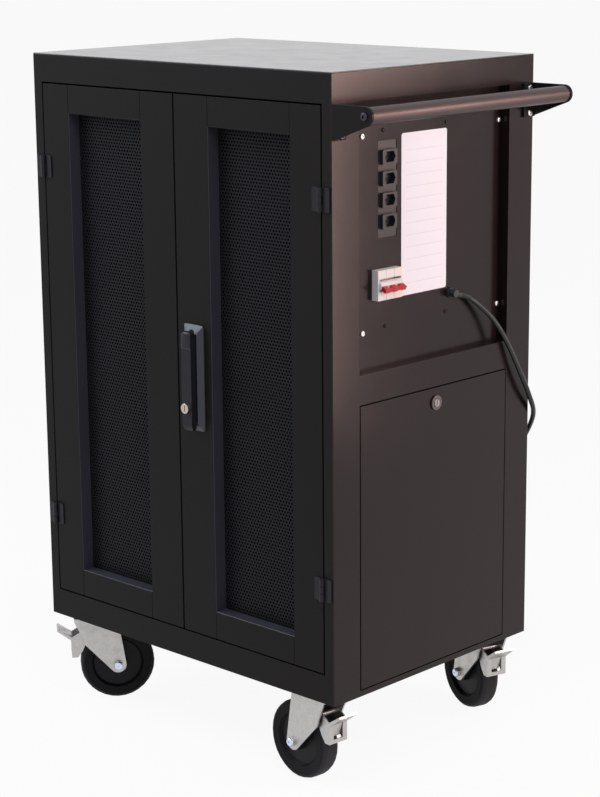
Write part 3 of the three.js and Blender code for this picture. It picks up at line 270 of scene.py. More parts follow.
class Finish:
    """A material whose nodes are made one by one and handed back as values."""

    def __init__(self, name, colour, roughness, metallic=0.0, specular=0.5, coat=0.0):
        self.material = bpy.data.materials.new(name)
        self.material.use_nodes = True
        self.material.diffuse_color = colour
        self.tree = self.material.node_tree
        self.tree.nodes.clear()
        self.surface = self.tree.nodes.new("ShaderNodeBsdfPrincipled")
        output = self.tree.nodes.new("ShaderNodeOutputMaterial")
        self.tree.links.new(self.surface.outputs["BSDF"], output.inputs["Surface"])
        inputs = {
            "Base Color": colour,
            "Roughness": roughness,
            "Metallic": metallic,
            "Specular IOR Level": specular,
            "Coat Weight": coat,
            "Coat Roughness": COAT_ROUGHNESS,
        }
        self.feed(self.surface, inputs)

    def feed(self, node, inputs):
        for key, value in inputs.items():
            if isinstance(value, Value):
                self.tree.links.new(value.socket, node.inputs[key])
            else:
                node.inputs[key].default_value = value

    def node(self, kind, settings=None, inputs=None, output=0):
        made = self.tree.nodes.new(kind)
        for key, value in (settings or {}).items():
            setattr(made, key, value)
        self.feed(made, inputs or {})
        return Value(self, made.outputs[output])

    def place(self):
        """The point on the piece, in the frame's metres."""
        return self.node("ShaderNodeTexCoord", output="Object")

    def axes(self):
        place = self.place()
        return [self.node("ShaderNodeSeparateXYZ", {}, {"Vector": place}, axis) for axis in "XYZ"]

    def vector(self, operation, first, second):
        return self.node("ShaderNodeVectorMath", {"operation": operation}, {0: first, 1: second})

    def from_axis(self, hinge):
        """Distance of the point on the piece from a joint's axis."""
        offset = self.vector("SUBTRACT", self.place(), hinge["pos_m"])
        out = self.vector("CROSS_PRODUCT", offset, hinge["axis"])
        return self.node("ShaderNodeVectorMath", {"operation": "LENGTH"}, {0: out}, "Value")

    def noise(self, size, detail=2.0, stretch=(1, 1, 1)):
        """Smooth noise from 0 to 1, its lumps about this many metres across."""
        scaled = self.vector("MULTIPLY", self.place(), [s / size for s in stretch])
        inputs = {"Vector": scaled, "Scale": 1.0, "Detail": detail}
        return self.node("ShaderNodeTexNoise", {}, inputs, "Fac")

    def cells(self, size):
        """Distance to the middle of the nearest of many cells, about this many metres across."""
        scaled = self.vector("MULTIPLY", self.place(), [1 / size] * 3)
        return self.node("ShaderNodeTexVoronoi", {}, {"Vector": scaled, "Scale": 1.0}, "Distance")

    def blend(self, mask, first, second):
        """The first colour where the mask is 0 and the second where it is 1."""
        inputs = {0: mask, 6: first, 7: second}
        return self.node("ShaderNodeMix", {"data_type": "RGBA"}, inputs, 2)

    def colour(self, value):
        self.feed(self.surface, {"Base Color": value})

    def roughness(self, value):
        self.feed(self.surface, {"Roughness": value})

    def metal(self, value):
        self.feed(self.surface, {"Metallic": value})

    def relief(self, height, depth, strength):
        inputs = {"Height": height, "Distance": depth, "Strength": strength}
        self.feed(self.surface, {"Normal": self.node("ShaderNodeBump", {}, inputs)})


def shade(colour, factor):
    return (*[min(1.0, c * factor) for c in colour[:3]], 1.0)


# Painted warm light: a warmer copy of the cabinet paint, and a warm tint on its reflections, stand
# in for the warm light that falls on the control side and the push tube
SIDE_PAINT_WARM_LIT = srgb(25, 16, 17)
SIDE_SPECULAR = 0.27
SIDE_PAINTED_WARM_REFLECTION = (1.0, 0.87, 0.86)
TUBE_PAINTED_WARM_REFLECTION = (1.0, 0.76, 0.74)


def powder_coat(name, colour, roughness, specular=0.1, reflection_tint=(1, 1, 1), gloss=0.0):
    """Fine orange-peel paint with faint clouding."""
    paint = Finish(name, colour, roughness, specular=specular, coat=gloss)
    # Tints the paint's reflections; a warm tint here is painted warm light
    paint.feed(paint.surface, {"Specular Tint": (*reflection_tint, 1)})
    cloud = paint.noise(0.16, 3.0)
    paint.colour(paint.blend(cloud, shade(colour, 0.86), shade(colour, 1.16)))
    peel = paint.noise(1.6 * MM, 1.0)
    paint.roughness(paint.noise(0.05, 4.0) * 0.12 + (roughness - 0.06))
    paint.relief(peel, 0.1 * MM, 0.35)
    return paint.material


def side_coat(name, finishes):
    """The glossier coat of the control side, its colour and its reflections tinted warm as painted
    warm light.
    """
    return powder_coat(name, SIDE_PAINT_WARM_LIT, finishes.side_roughness, SIDE_SPECULAR, SIDE_PAINTED_WARM_REFLECTION)


def moulded(name, colour, roughness, grain=0.6 * MM, specular=0.4):
    """Plastic with a fine spark-eroded grain."""
    plastic = Finish(name, colour, roughness, specular=specular)
    cloud = plastic.noise(0.03)
    plastic.colour(plastic.blend(cloud, shade(colour, 0.92), shade(colour, 1.08)))
    plastic.roughness(plastic.noise(8 * MM) * 0.14 + (roughness - 0.07))
    plastic.relief(plastic.noise(grain, 1.0), 0.05 * MM, 0.4)
    return plastic.material


def plated(name, colour, roughness):
    """Plated steel: a faint spangle, drawn streaks and a few dull patches."""
    metal = Finish(name, colour, roughness, metallic=1.0)
    flakes = metal.cells(5 * MM)
    metal.colour(metal.blend(flakes, shade(colour, 1.03), shade(colour, 0.9)))
    dull = metal.noise(14 * MM, 4.0).smooth(0.35, 0.7)
    streak = metal.noise(3 * MM, 2.0, (1, 1, 0.08))
    metal.roughness(dull * 0.16 + streak * 0.1 + (roughness - 0.1))
    metal.relief(metal.noise(1.2 * MM), 0.03 * MM, 0.3)
    return metal.material


HUB_RADIUS = 43 * MM
# Radii over which the hub's own lighter tone turns into a dark ring of painted shade for the groove
# between hub and tyre
HUB_TO_GROOVE_SHADE = (39.5 * MM, 40.5 * MM)
TREAD_START = (55 * MM, 61 * MM)


def tyre_rubber(name, colour, roll):
    """Black rubber, lighter towards the tread, and a glossier moulded wheel centre round the axle;
    a dark ring at the centre's edge is painted shade in the groove there.
    """
    rubber = Finish(name, colour, 0.7, specular=0.15)
    radius = rubber.from_axis(roll)
    tread = radius.smooth(HUB_RADIUS - 0.5 * MM, HUB_RADIUS + 0.5 * MM)
    cloud = rubber.noise(10 * MM, 4.0)
    wall = rubber.blend(cloud, shade(colour, 0.75), shade(colour, 1.3))
    tread_tone = rubber.blend(cloud, shade(colour, 4.0), shade(colour, 6.0))
    tyre = rubber.blend(radius.smooth(*TREAD_START), wall, tread_tone)
    # Painted shade: a dark ring just inside the tread edge stands in for shade in the groove round
    # the hub; inside it the hub keeps its own lighter tone
    hub_and_groove_shade = rubber.blend(radius.smooth(*HUB_TO_GROOVE_SHADE), shade(colour, 1.8), shade(colour, 0.35))
    rubber.colour(rubber.blend(tread, hub_and_groove_shade, tyre))
    rubber.roughness(tread * 0.2 + cloud * 0.12 + 0.42)
    rubber.relief(rubber.noise(0.9 * MM, 1.0), 0.05 * MM, 0.4)
    return rubber.material


def joint(name):
    return next(j for j in frame["joints"] if j["name"] == name)


FLAT_ANGLE = math.radians(0.5)
FOLD_ANGLE = math.radians(35)


def soften(piece, edge):
    """Rounds a folded piece's edges and evens its shading."""
    weld = piece.modifiers.new("Weld", "WELD")
    weld.merge_threshold = MERGE
    flat = piece.modifiers.new("Flat", "DECIMATE")
    flat.decimate_type = "DISSOLVE"
    flat.angle_limit = FLAT_ANGLE
    bevel = piece.modifiers.new("Edge", "BEVEL")
    bevel.width = edge
    bevel.segments = 2
    bevel.limit_method = "ANGLE"
    bevel.angle_limit = FOLD_ANGLE
    even = piece.modifiers.new("Shading", "WEIGHTED_NORMAL")
    even.keep_sharp = False
    for face in piece.data.polygons:
        face.use_smooth = True


def dress(names, material, edge):
    """Gives solids a material and rounded edges."""
    for piece in (frame["nodes"][name] for name in names):
        if not piece.material_slots:
            piece.data.materials.append(None)
        piece.material_slots[0].material = material
        if edge:
            soften(piece, edge)


def new_object(name, data):
    made = bpy.data.objects.new(name, data)
    bpy.context.scene.collection.objects.link(made)
    return made


def new_piece(name, mesh, material, body):
    piece = new_object(name, mesh)
    mesh.materials.append(material)
    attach(piece, body)
    return piece


def mesh_from(name, points, faces, smooth=False):
    mesh = bpy.data.meshes.new(name)
    mesh.from_pydata([tuple(p) for p in points], [], faces)
    mesh.validate()
    for face in mesh.polygons:
        face.use_smooth = smooth
    return mesh


def ring_quads(a, b, count):
    """Faces between two closed rings of points that start at these places in the list."""
    return [(a + i, a + (i + 1) % count, b + (i + 1) % count, b + i) for i in range(count)]


def hexagon_recess(radius):
    """The edge of a six-sided socket, as a radius for each direction."""
    sixth = math.pi / 3
    return lambda a: radius * math.cos(sixth / 2) / math.cos((a % sixth) - sixth / 2)


def cross_recess(radius, half_width):
    """The edge of a cross slot, as a radius for each direction."""

    def arm(toward, across):
        return min(radius / max(abs(toward), 1e-6), half_width / max(abs(across), 1e-6))

    return lambda a: max(arm(math.cos(a), math.sin(a)), arm(math.sin(a), math.cos(a)))


# Shares of a fastener's size: steps up its dome, narrowing there, and the floor of its socket
DOME_STEPS = (0.35, 0.65, 0.85)
DOME_TAPER = 0.45
SOCKET_FLOOR = 0.35
SOCKET_TAPER = 0.85


def fastener_rings(radius, height, recess, dome):
    """(height, radius by direction) from a fastener's foot to the floor of its socket."""
    rings = [(0.0, lambda a: radius), (height * (1 - dome), lambda a: radius)]
    for step in DOME_STEPS:
        lift = height * (1 - dome) + height * dome * math.sin(step * math.pi / 2)
        rings.append((lift, lambda a, s=step: radius * (1 - DOME_TAPER * s * s)))
    rings.append((height, recess))
    rings.append((height * SOCKET_FLOOR, lambda a: recess(a) * SOCKET_TAPER))
    return rings


def fastener_mesh(name, places, outward, radius, height, recess, dome=0.5, sides=24):
    """Like fasteners at several places, facing one way, as one mesh."""
    turn = Vector((0, 0, 1)).rotation_difference(Vector(outward)).to_matrix()
    points, faces = [], []
    rings = fastener_rings(radius, height, recess, dome)
    for place in places:
        first = len(points)
        for lift, radius_at in rings:
            for i in range(sides):
                a = 2 * math.pi * i / sides
                r = radius_at(a)
                points.append(place + turn @ Vector((r * math.cos(a), r * math.sin(a), lift)))
        for ring in range(len(rings) - 1):
            a = first + ring * sides
            faces += ring_quads(a, a + sides, sides)
        faces.append([first + (len(rings) - 1) * sides + i for i in range(sides)])
    return mesh_from(name, points, faces)


def swept_mesh(name, path, radii, sides=20):
    """A round tube along a path, its radius given at each point, closed at both ends."""
    points, faces = [], []
    across = None
    for i, p in enumerate(path):
        along = (path[min(i + 1, len(path) - 1)] - path[max(i - 1, 0)]).normalized()
        across = (across or along.orthogonal()) - along * along.dot(across or along.orthogonal())
        across.normalize()
        up = along.cross(across)
        for k in range(sides):
            a = 2 * math.pi * k / sides
            points.append(p + (across * math.cos(a) + up * math.sin(a)) * radii[i])
    for i in range(len(path) - 1):
        faces += ring_quads(i * sides, (i + 1) * sides, sides)
    faces.append(list(range(sides))[::-1])
    faces.append([(len(path) - 1) * sides + k for k in range(sides)])
    return mesh_from(name, points, faces, smooth=True)


def rounded_outline(low, high, radius, steps=6):
    """Corner points of a rounded rectangle between two (a, b) corners, counter-clockwise."""
    corners = [
        (high[0] - radius, low[1] + radius, -90),
        (high[0] - radius, high[1] - radius, 0),
        (low[0] + radius, high[1] - radius, 90),
        (low[0] + radius, low[1] + radius, 180),
    ]
    outline = []
    for a, b, start in corners:
        for i in range(steps + 1):
            angle = math.radians(start + 90 * i / steps)
            outline.append((a + radius * math.cos(angle), b + radius * math.sin(angle)))
    return outline


# Stage

CAMERA_TARGET_MM = (39.0, 0.0, 536.5)
CAMERA_DISTANCE_MM = 3420.9
CAMERA_AZIMUTH_DEG = 43.78
CAMERA_ELEVATION_DEG = 13.244
CAMERA_ROLL_DEG = -0.497
SENSOR_MM = 36.0
FOCAL_PX = 2114.1
PICTURE_HEIGHT_PX = 797
FLOOR_SIZE = 60.0
FLOOR_WHITE = 0.93
LAMP_TARGET = Vector((0, 0, 0.55))

# Place, size and colour of each lamp
LAMPS = {
    "key": ((3.2, -1.0, 1.6), (2.0, 2.0), (1.0, 0.97, 1.0)),
    "side": ((1.09, 0.5, 0.78), (0.17, 0.95), (1.0, 0.7, 0.62)),
    "rail": ((1.09, 0.64, 1.125), (0.4, 0.22), (1.0, 0.7, 0.63)),
    "back": ((-2.4, 2.6, 1.5), (2.4, 2.4), (0.93, 0.88, 1.0)),
    "left": ((-1.5, -1.25, 1.95), (1.0, 1.0), (0.84, 0.91, 1.0)),
    "overhead": ((0.9, -1.1, 2.8), (1.2, 1.2), (0.88, 0.92, 1.0)),
}


class CART_OT_stage(bpy.types.Operator):
    """Camera, pale floor, soft lamps and a white surround"""

    bl_idname = "cart.stage"
    bl_label = "Stage"

    def execute(self, context):
        settings = context.scene.cart_stage
        context.scene.view_settings.view_transform = "Standard"
        self.camera(context.scene)
        self.floor()
        self.surround(context.scene, settings.ambient)
        for name, (place, size, colour) in LAMPS.items():
            self.lamp(name + "_lamp", place, size, getattr(settings, name), colour)
        return {"FINISHED"}

    @staticmethod
    def camera(scene):
        data = bpy.data.cameras.new("camera")
        data.sensor_width = SENSOR_MM
        data.lens = FOCAL_PX / PICTURE_HEIGHT_PX * SENSOR_MM
        azimuth = math.radians(CAMERA_AZIMUTH_DEG)
        elevation = math.radians(CAMERA_ELEVATION_DEG)
        level = math.cos(elevation)
        back = Vector((math.sin(azimuth) * level, -math.cos(azimuth) * level, math.sin(elevation)))
        camera = new_object("camera", data)
        roll = Quaternion((0, 0, 1), math.radians(CAMERA_ROLL_DEG))
        camera.rotation_mode = "QUATERNION"
        camera.rotation_quaternion = (-back).to_track_quat("-Z", "Y") @ roll
        camera.location = cart(*CAMERA_TARGET_MM) + back * CAMERA_DISTANCE_MM * MM
        scene.camera = camera

    @staticmethod
    def floor():
        half = FLOOR_SIZE / 2
        corners = [(-half, -half, 0), (half, -half, 0), (half, half, 0), (-half, half, 0)]
        piece = new_object("floor", mesh_from("floor", corners, [(0, 1, 2, 3)]))
        paper = Finish("floor_paper", srgb(246, 246, 246), 0.9, specular=0.0)
        seen = sum(paper.node("ShaderNodeLightPath", output=kind) for kind in SEEN_RAYS)
        white = paper.node("ShaderNodeEmission", {}, {"Color": (1, 1, 1, 1), "Strength": 1.0})
        lit = Value(paper, paper.surface.outputs["BSDF"])
        mixed = paper.node("ShaderNodeMixShader", {}, {0: seen * FLOOR_WHITE, 1: lit, 2: white})
        paper.feed(paper.tree.nodes["Material Output"], {"Surface": mixed})
        piece.data.materials.append(paper.material)

    @staticmethod
    def surround(scene, ambient):
        world = bpy.data.worlds.new("surround")
        world.use_nodes = True
        scene.world = world
        tree = world.node_tree
        background = tree.nodes["Background"]
        background.inputs["Color"].default_value = (1, 1, 1, 1)
        path = tree.nodes.new("ShaderNodeLightPath")
        seen = path.outputs[SEEN_RAYS[0]]
        for kind in SEEN_RAYS[1:]:
            either = tree.nodes.new("ShaderNodeMath")
            either.operation = "MAXIMUM"
            tree.links.new(seen, either.inputs[0])
            tree.links.new(path.outputs[kind], either.inputs[1])
            seen = either.outputs[0]
        strength = tree.nodes.new("ShaderNodeMapRange")
        strength.inputs["To Min"].default_value = ambient
        strength.inputs["To Max"].default_value = 1.0
        tree.links.new(seen, strength.inputs["Value"])
        tree.links.new(strength.outputs["Result"], background.inputs["Strength"])

    @staticmethod
    def lamp(name, place, size, power, colour):
        data = bpy.data.lights.new(name, "AREA")
        data.shape = "RECTANGLE"
        data.size, data.size_y = size
        data.energy = power
        data.color = colour
        lamp = new_object(name, data)
        lamp.location = place
        aim = LAMP_TARGET - Vector(place)
        lamp.rotation_mode = "QUATERNION"
        lamp.rotation_quaternion = aim.to_track_quat("-Z", "Y")
        lamp.visible_camera = False


# Mains lead

LEAD_ROUTE_MM = [
    (317, 65.7, 731.8),
    (317, 73.2, 729.8),
    (317.8, 86.5, 724.6),
    (320.2, 99, 716.3),
    (325.5, 128, 692),
    (329, 146, 671),
    (333.5, 168, 637),
    (337, 190, 596),
    (337, 215, 554),
    (329, 239, 518),
    (309, 252, 484),
    (275, 256, 436),
    (215, 257, 357),
    (145, 258, 264),
    (90, 260, 172),
    (45, 263, 92),
    (5, 268, 38),
    (-40, 274.5, 11),
    (-90, 278.4, 4.3),
    (-121.7, 278.4, 4.3),
]
COIL_MIDDLE_MM = (-130.0, 330.0)
COIL_RADIUS_MM = 51.6
COIL_PITCH_MM = 8.75
COIL_LAYERS = 4
COIL_TURNS = 6.5
COIL_RISE_TURNS = 0.15
COIL_FLOOR_MM = 4.3
COIL_LEAD_IN_MM = 8.0
TAIL_MM = 95.0
TAIL_STEPS = 12
PLUG_AXIS_MM = 16.0
PLUG_PINS = 19 * MM
BOOT_LENGTH_MM = 24.0
BOOT_RADIUS_MM = 4.95
BOOT_TAPER_MM = 0.9
BOOT_RIB_MM = 0.45
STRAP_GAUGE = 1.2 * MM
STRAP_CORNER = 3.5 * MM


def smoothstep(value, low, high):
    t = min(1.0, max(0.0, (value - low) / (high - low)))
    return t * t * (3 - 2 * t)


def through(points, steps):
    """Points along a centripetal Catmull-Rom curve through the given ones."""
    ends = [points[0] * 2 - points[1], *points, points[-1] * 2 - points[-2]]
    curve = []
    for a, b, c, d in zip(ends, ends[1:], ends[2:], ends[3:]):
        t0, t1, t2 = ((q - p).length ** 0.5 for p, q in ((a, b), (b, c), (c, d)))
        leave = ((b - a) / t0 - (c - a) / (t0 + t1) + (c - b) / t1) * t1
        arrive = ((c - b) / t1 - (d - b) / (t1 + t2) + (d - c) / t2) * t1
        for i in range(steps):
            t = i / steps
            curve.append(
                b
                + leave * t
                + (c * 3 - b * 3 - leave * 2 - arrive) * t**2
                + (b * 2 - c * 2 + leave + arrive) * t**3
            )
    return [*curve, points[-1]]


def coil_route(steps_per_turn):
    """Flat layers that wind in and out, one above the other, then a tail to the plug."""
    layer_turns = (COIL_TURNS - (COIL_LAYERS - 1) * COIL_RISE_TURNS) / COIL_LAYERS
    cycle = layer_turns + COIL_RISE_TURNS
    x, y = COIL_MIDDLE_MM
    points = [(x + COIL_LEAD_IN_MM, y - COIL_RADIUS_MM, COIL_FLOOR_MM)]
    steps = round(COIL_TURNS * steps_per_turn)
    for i in range(steps + 1):
        turn = i / steps * COIL_TURNS
        layer = min(int(turn / cycle), COIL_LAYERS - 1)
        within = turn - layer * cycle
        along = min(within, layer_turns)
        inward = along if layer % 2 == 0 else layer_turns - along
        rise = smoothstep(within, layer_turns, cycle)
        radius = COIL_RADIUS_MM - COIL_PITCH_MM * inward
        angle = -math.pi / 2 - 2 * math.pi * turn
        height = COIL_FLOOR_MM + COIL_PITCH_MM * (layer + rise)
        points.append((x + radius * math.cos(angle), y + radius * math.sin(angle), height))
    end = points[-1]
    for i in range(1, TAIL_STEPS + 1):
        t = i / TAIL_STEPS
        drop = (end[2] - PLUG_AXIS_MM) * smoothstep(t, 0.25, 5 / 6)
        points.append((end[0] + TAIL_MM * t, end[1], end[2] - drop))
    return [cart(*p) for p in points]


class CART_OT_mains_lead(bpy.types.Operator):
    """The lead with its boot, coil, tie and plug"""

    bl_idname = "cart.mains_lead"
    bl_label = "Mains lead"

    def execute(self, context):
        settings = context.scene.cart_lead
        sheath = moulded("lead_sheath", srgb(24, 24, 27), 0.22, 1.2 * MM)
        rubber = moulded("boot_rubber", srgb(26, 27, 31), 0.4)
        free = through([cart(*p) for p in LEAD_ROUTE_MM], 8)
        route = free + coil_route(settings.steps_per_turn)
        lead = self.curve("mains_lead_flex", route, settings.diameter, sheath)
        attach(lead, "cabinet")
        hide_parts("mains_lead", "mains_lead_coil")
        boot = self.boot(free, rubber)
        tie = self.tie()
        dress(["mains_plug"], self.plug_finish(), 0.5 * MM)
        length = sum((q - p).length for p, q in zip(route, route[1:]))
        return {"FINISHED"}

    @staticmethod
    def curve(name, route, diameter, material):
        data = bpy.data.curves.new(name, "CURVE")
        data.dimensions = "3D"
        data.bevel_depth = diameter / 2
        data.bevel_resolution = 4
        data.use_fill_caps = True
        spline = data.splines.new("POLY")
        spline.points.add(len(route) - 1)
        for point, place in zip(spline.points, route):
            point.co = (*place, 1)
        spline.use_smooth = True
        data.materials.append(material)
        return new_object(name, data)

    @staticmethod
    def boot(free, material):
        """A ribbed, tapered sleeve over the first stretch of the lead."""
        path, reach = [free[0]], 0.0
        for p, q in zip(free, free[1:]):
            reach += (q - p).length
            if reach > BOOT_LENGTH_MM * MM:
                break
            path.append(q)
        path = through(path, 4)
        last = len(path) - 1
        radii = []
        for i in range(len(path)):
            rib = BOOT_RIB_MM if i % 4 < 2 and i < last - 2 else 0.0
            radii.append((BOOT_RADIUS_MM - BOOT_TAPER_MM * i / last + rib) * MM)
        piece = new_piece("lead_boot", swept_mesh("lead_boot", path, radii), material, "cabinet")
        return piece

    @staticmethod
    def tie():
        """A hook-and-loop strap round the coil."""
        low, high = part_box("coil_tie")
        outline = rounded_outline((low.x, low.z), (high.x, high.z), STRAP_CORNER)
        inner = rounded_outline(
            (low.x + STRAP_GAUGE, low.z + 0.2 * MM),
            (high.x - STRAP_GAUGE, high.z - STRAP_GAUGE),
            STRAP_CORNER - STRAP_GAUGE,
        )
        count = len(outline)
        points, faces = [], []
        for ring, y in ((outline, low.y), (outline, high.y), (inner, low.y), (inner, high.y)):
            points += [(x, y, z) for x, z in ring]
        for a, b in ((0, 1), (3, 2), (2, 0), (1, 3)):
            faces += ring_quads(a * count, b * count, count)
        weave = Finish("strap_weave", srgb(44, 44, 48), 0.85, specular=0.2)
        loops = weave.cells(0.9 * MM)
        weave.colour(weave.blend(loops, srgb(30, 30, 33), srgb(62, 62, 68)))
        weave.roughness(loops * 0.15 + 0.75)
        weave.relief(loops, 0.3 * MM, 0.8)
        mesh = mesh_from("coil_strap", points, faces)
        piece = new_piece("coil_strap", mesh, weave.material, "cabinet")
        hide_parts("coil_tie")
        return piece

    @staticmethod
    def plug_finish():
        """Black moulded plastic, with nickel beyond the plug's face."""
        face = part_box("mains_plug")[1].x - PLUG_PINS
        plug = Finish("plug_moulding", srgb(36, 36, 38), 0.45)
        pins = plug.axes()[0].smooth(face - 0.2 * MM, face + 0.2 * MM)
        grip = plug.node(
            "ShaderNodeTexWave",
            {"bands_direction": "X"},
            {"Vector": plug.place(), "Scale": 60.0, "Distortion": 0.0},
            "Fac",
        )
        plug.colour(plug.blend(pins, srgb(36, 36, 38), srgb(206, 202, 192)))
        plug.metal(pins)
        plug.roughness(0.48 - pins * 0.22)
        plug.relief(grip * (1 - pins), 0.5 * MM, 0.5)
        return plug.material


# Cabinet

# How far behind the outer skin the cheeks of the sill begin and end
SILL_BACK = 19.7 * MM
SILL_FRONT = 2.1 * MM
SILL_GAUGE = 1 * MM
BACK_SCREW_X_MM = 300
BACK_SCREW_HEIGHTS_MM = (40, 255, 470, 685, 900)

# Faces of a box whose corners run through x, then y, then z
BOX_FACES = [(0, 1, 3, 2), (4, 6, 7, 5), (0, 4, 5, 1), (2, 3, 7, 6), (0, 2, 6, 4), (1, 5, 7, 3)]


class CART_OT_cabinet(bpy.types.Operator):
    """Powder-coated shell, racks and inner strips"""

    bl_idname = "cart.cabinet"
    bl_label = "Cabinet"

    def execute(self, context):
        finishes = context.scene.cart_finishes
        paint = powder_coat("cabinet_paint", finishes.paint, finishes.paint_roughness)
        top = powder_coat("top_paint", finishes.paint, 0.3, gloss=0.35, specular=0.5)
        outer = ["left_side_panel", "back_panel", "front_frame", "base_plate"]
        dress(outer, paint, finishes.edge)
        # The control side's frame takes the warm side coat, which is painted warm light
        dress(["control_side_frame"], side_coat("side_paint", finishes), finishes.edge)
        dress(["cabinet_top"], top, finishes.edge)
        inside = powder_coat("inside_paint", shade(finishes.paint, 0.9), 0.5)
        inner = ["service_partition", "lower_laptop_rack", "upper_laptop_rack"]
        dress(inner, inside, finishes.edge / 2)
        strips = moulded("inner_strip_plastic", srgb(40, 40, 42), 0.5)
        dress(["lower_charging_strip", "upper_charging_strip"], strips, finishes.edge)
        self.back_screws()
        self.sill_ends(inside)
        return {"FINISHED"}

    @staticmethod
    def sill_ends(paint):
        """Two small cheeks that close the ends of the sill under the access panel."""
        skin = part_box("control_side_frame")[1].x
        low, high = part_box("access_panel")
        foot, head = (BODY_FOOT_MM + 0.1) * MM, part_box("base_plate")[1].z
        points, faces = [], []
        for start in (low.y - 3 * MM, high.y + 2 * MM):
            first = len(points)
            points += [
                (x, y, z)
                for x in (skin - SILL_BACK, skin - SILL_FRONT)
                for y in (start, start + SILL_GAUGE)
                for z in (foot, head)
            ]
            faces += [[first + i for i in face] for face in BOX_FACES]
        cheeks = new_piece("sill_ends", mesh_from("sill_ends", points, faces), paint, "cabinet")

    @staticmethod
    def back_screws():
        """Two columns of pan heads that hold the back sheet."""
        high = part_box("back_panel")[1]
        places = [
            Vector((MIDDLE.x + side * BACK_SCREW_X_MM * MM, high.y, (BODY_FOOT_MM + z) * MM))
            for side in (-1, 1)
            for z in BACK_SCREW_HEIGHTS_MM
        ]
        steel = plated("back_screw_black", srgb(70, 70, 72), 0.4)
        mesh = fastener_mesh(
            "back_screws", places, (0, 1, 0), 4 * MM, 2.2 * MM, cross_recess(2 * MM, 0.5 * MM)
        )
        new_piece("back_screws", mesh, steel, "cabinet")


# Doors

GRILLE_MARGIN = 6 * MM
GRILLE_LAP = 8 * MM
LINING_GAUGE = 0.6 * MM
LINING_FRONT = 0.4 * MM
LINING_BACK = 0.1 * MM


def perforated_mesh(name, low, high, pitch, bridge):
    """A sheet of six-sided holes in staggered rows between two corners, with a plain border."""
    outer = pitch / math.sqrt(3)
    inner = outer - bridge / math.sqrt(3)
    row_pitch = pitch * math.sqrt(3) / 2
    columns = int((high.x - low.x - 2 * GRILLE_MARGIN) / pitch - 0.5)
    rows = int((high.z - low.z - 2 * GRILLE_MARGIN - 2 * outer) / row_pitch) + 1
    start_x = (low.x + high.x - (columns - 0.5) * pitch) / 2
    start_z = (low.z + high.z - (rows - 1) * row_pitch) / 2
    directions = [math.radians(30 + 60 * k) for k in range(6)]
    points, faces = [], []
    for row in range(rows):
        for column in range(columns):
            x = start_x + (column + 0.5 * (row % 2)) * pitch
            z = start_z + row * row_pitch
            first = len(points)
            for radius, y in ((outer, low.y), (inner, low.y), (inner, high.y)):
                for a in directions:
                    points.append((x + radius * math.cos(a), y, z + radius * math.sin(a)))
            for ring in (first, first + 6):
                faces += ring_quads(ring, ring + 6, 6)
    lap = 0.5 * GRILLE_MARGIN
    border = (low.x, high.x, low.z, high.z)
    window = (
        start_x - pitch / 2 + lap,
        start_x + columns * pitch - lap,
        start_z - outer + lap,
        start_z + (rows - 1) * row_pitch + outer - lap,
    )
    rings = [(*border, low.y), (*window, low.y), (*window, high.y), (*border, high.y)]
    add_frame(points, faces, rings)
    mesh = mesh_from(name, points, faces)
    made = bmesh.new()
    made.from_mesh(mesh)
    bmesh.ops.remove_doubles(made, verts=made.verts, dist=MERGE)
    bmesh.ops.recalc_face_normals(made, faces=made.faces)
    made.to_mesh(mesh)
    made.free()
    return mesh


def add_frame(points, faces, rings):
    """Adds a rectangular frame: four rings (x0, x1, z0, z1, y), each joined to the next."""
    first = len(points)
    for x0, x1, z0, z1, y in rings:
        points.extend([(x0, y, z0), (x1, y, z0), (x1, y, z1), (x0, y, z1)])
    for ring in range(4):
        faces.extend(ring_quads(first + 4 * ring, first + 4 * ((ring + 1) % 4), 4))


def lining_mesh(name, low, high, front):
    """A thin lining of the window in front of the sheet, its front edge chamfered. The doors paint
    it lighter than themselves, as painted light on the window reveals.
    """
    points, faces, rings = [], [], []
    for gauge, y in (
        (0.0, front + LINING_FRONT),
        (LINING_GAUGE, front + LINING_FRONT + LINING_GAUGE),
        (LINING_GAUGE, low.y - LINING_BACK),
        (0.0, low.y - LINING_BACK),
    ):
        inset = GRILLE_LAP + gauge
        rings.append((low.x + inset, high.x - inset, low.z + inset, high.z - inset, y))
    add_frame(points, faces, rings)
    return mesh_from(name, points, faces)


class CART_OT_doors(bpy.types.Operator):
    """Two painted doors with perforated sheets and surface hinges"""

    bl_idname = "cart.doors"
    bl_label = "Doors"

    def execute(self, context):
        finishes = context.scene.cart_finishes
        grille = context.scene.cart_grille
        paint = powder_coat("door_paint", shade(finishes.paint, 0.92), finishes.paint_roughness)
        sheet = powder_coat("grille_paint", srgb(32, 32, 36), 0.45)
        hinge = moulded("hinge_black", srgb(38, 37, 42), 0.3, specular=0.18)
        # Painted light: the lining is a lighter, bluer copy of the door paint that stands in for
        # light caught by the window reveals
        lining = powder_coat("lining_paint", srgb(60, 60, 68), 0.4, specular=0.3)
        for side in ("left", "right"):
            door = side + "_door"
            dress([door], paint, finishes.edge)
            low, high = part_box(door + "_mesh")
            mesh = perforated_mesh(door + "_grille", low, high, grille.pitch, grille.bridge)
            piece = new_piece(door + "_grille", mesh, sheet, door)
            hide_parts(door + "_mesh")
            mesh = lining_mesh(door + "_lining", low, high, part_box(door)[0].y)
            new_piece(door + "_lining", mesh, lining, door)
            for level in ("lower", "upper"):
                leaves = f"{side}_{level}_hinge_"
                dress([leaves + "frame_leaf", leaves + "door_leaf"], hinge, 0.7 * MM)
        return {"FINISHED"}


# Swing handle

CAP_DROP = 22 * MM
CAP_LIFT_MM = 0.05
CAP_EDGE_MM = 0.15
CAP_CROWN_MM = 1.25
CAP_ROWS = 10
CAP_COLUMNS = 12
CAP_TILTS_DEG = range(0, 91, 15)
CAP_NARROWING = 0.3


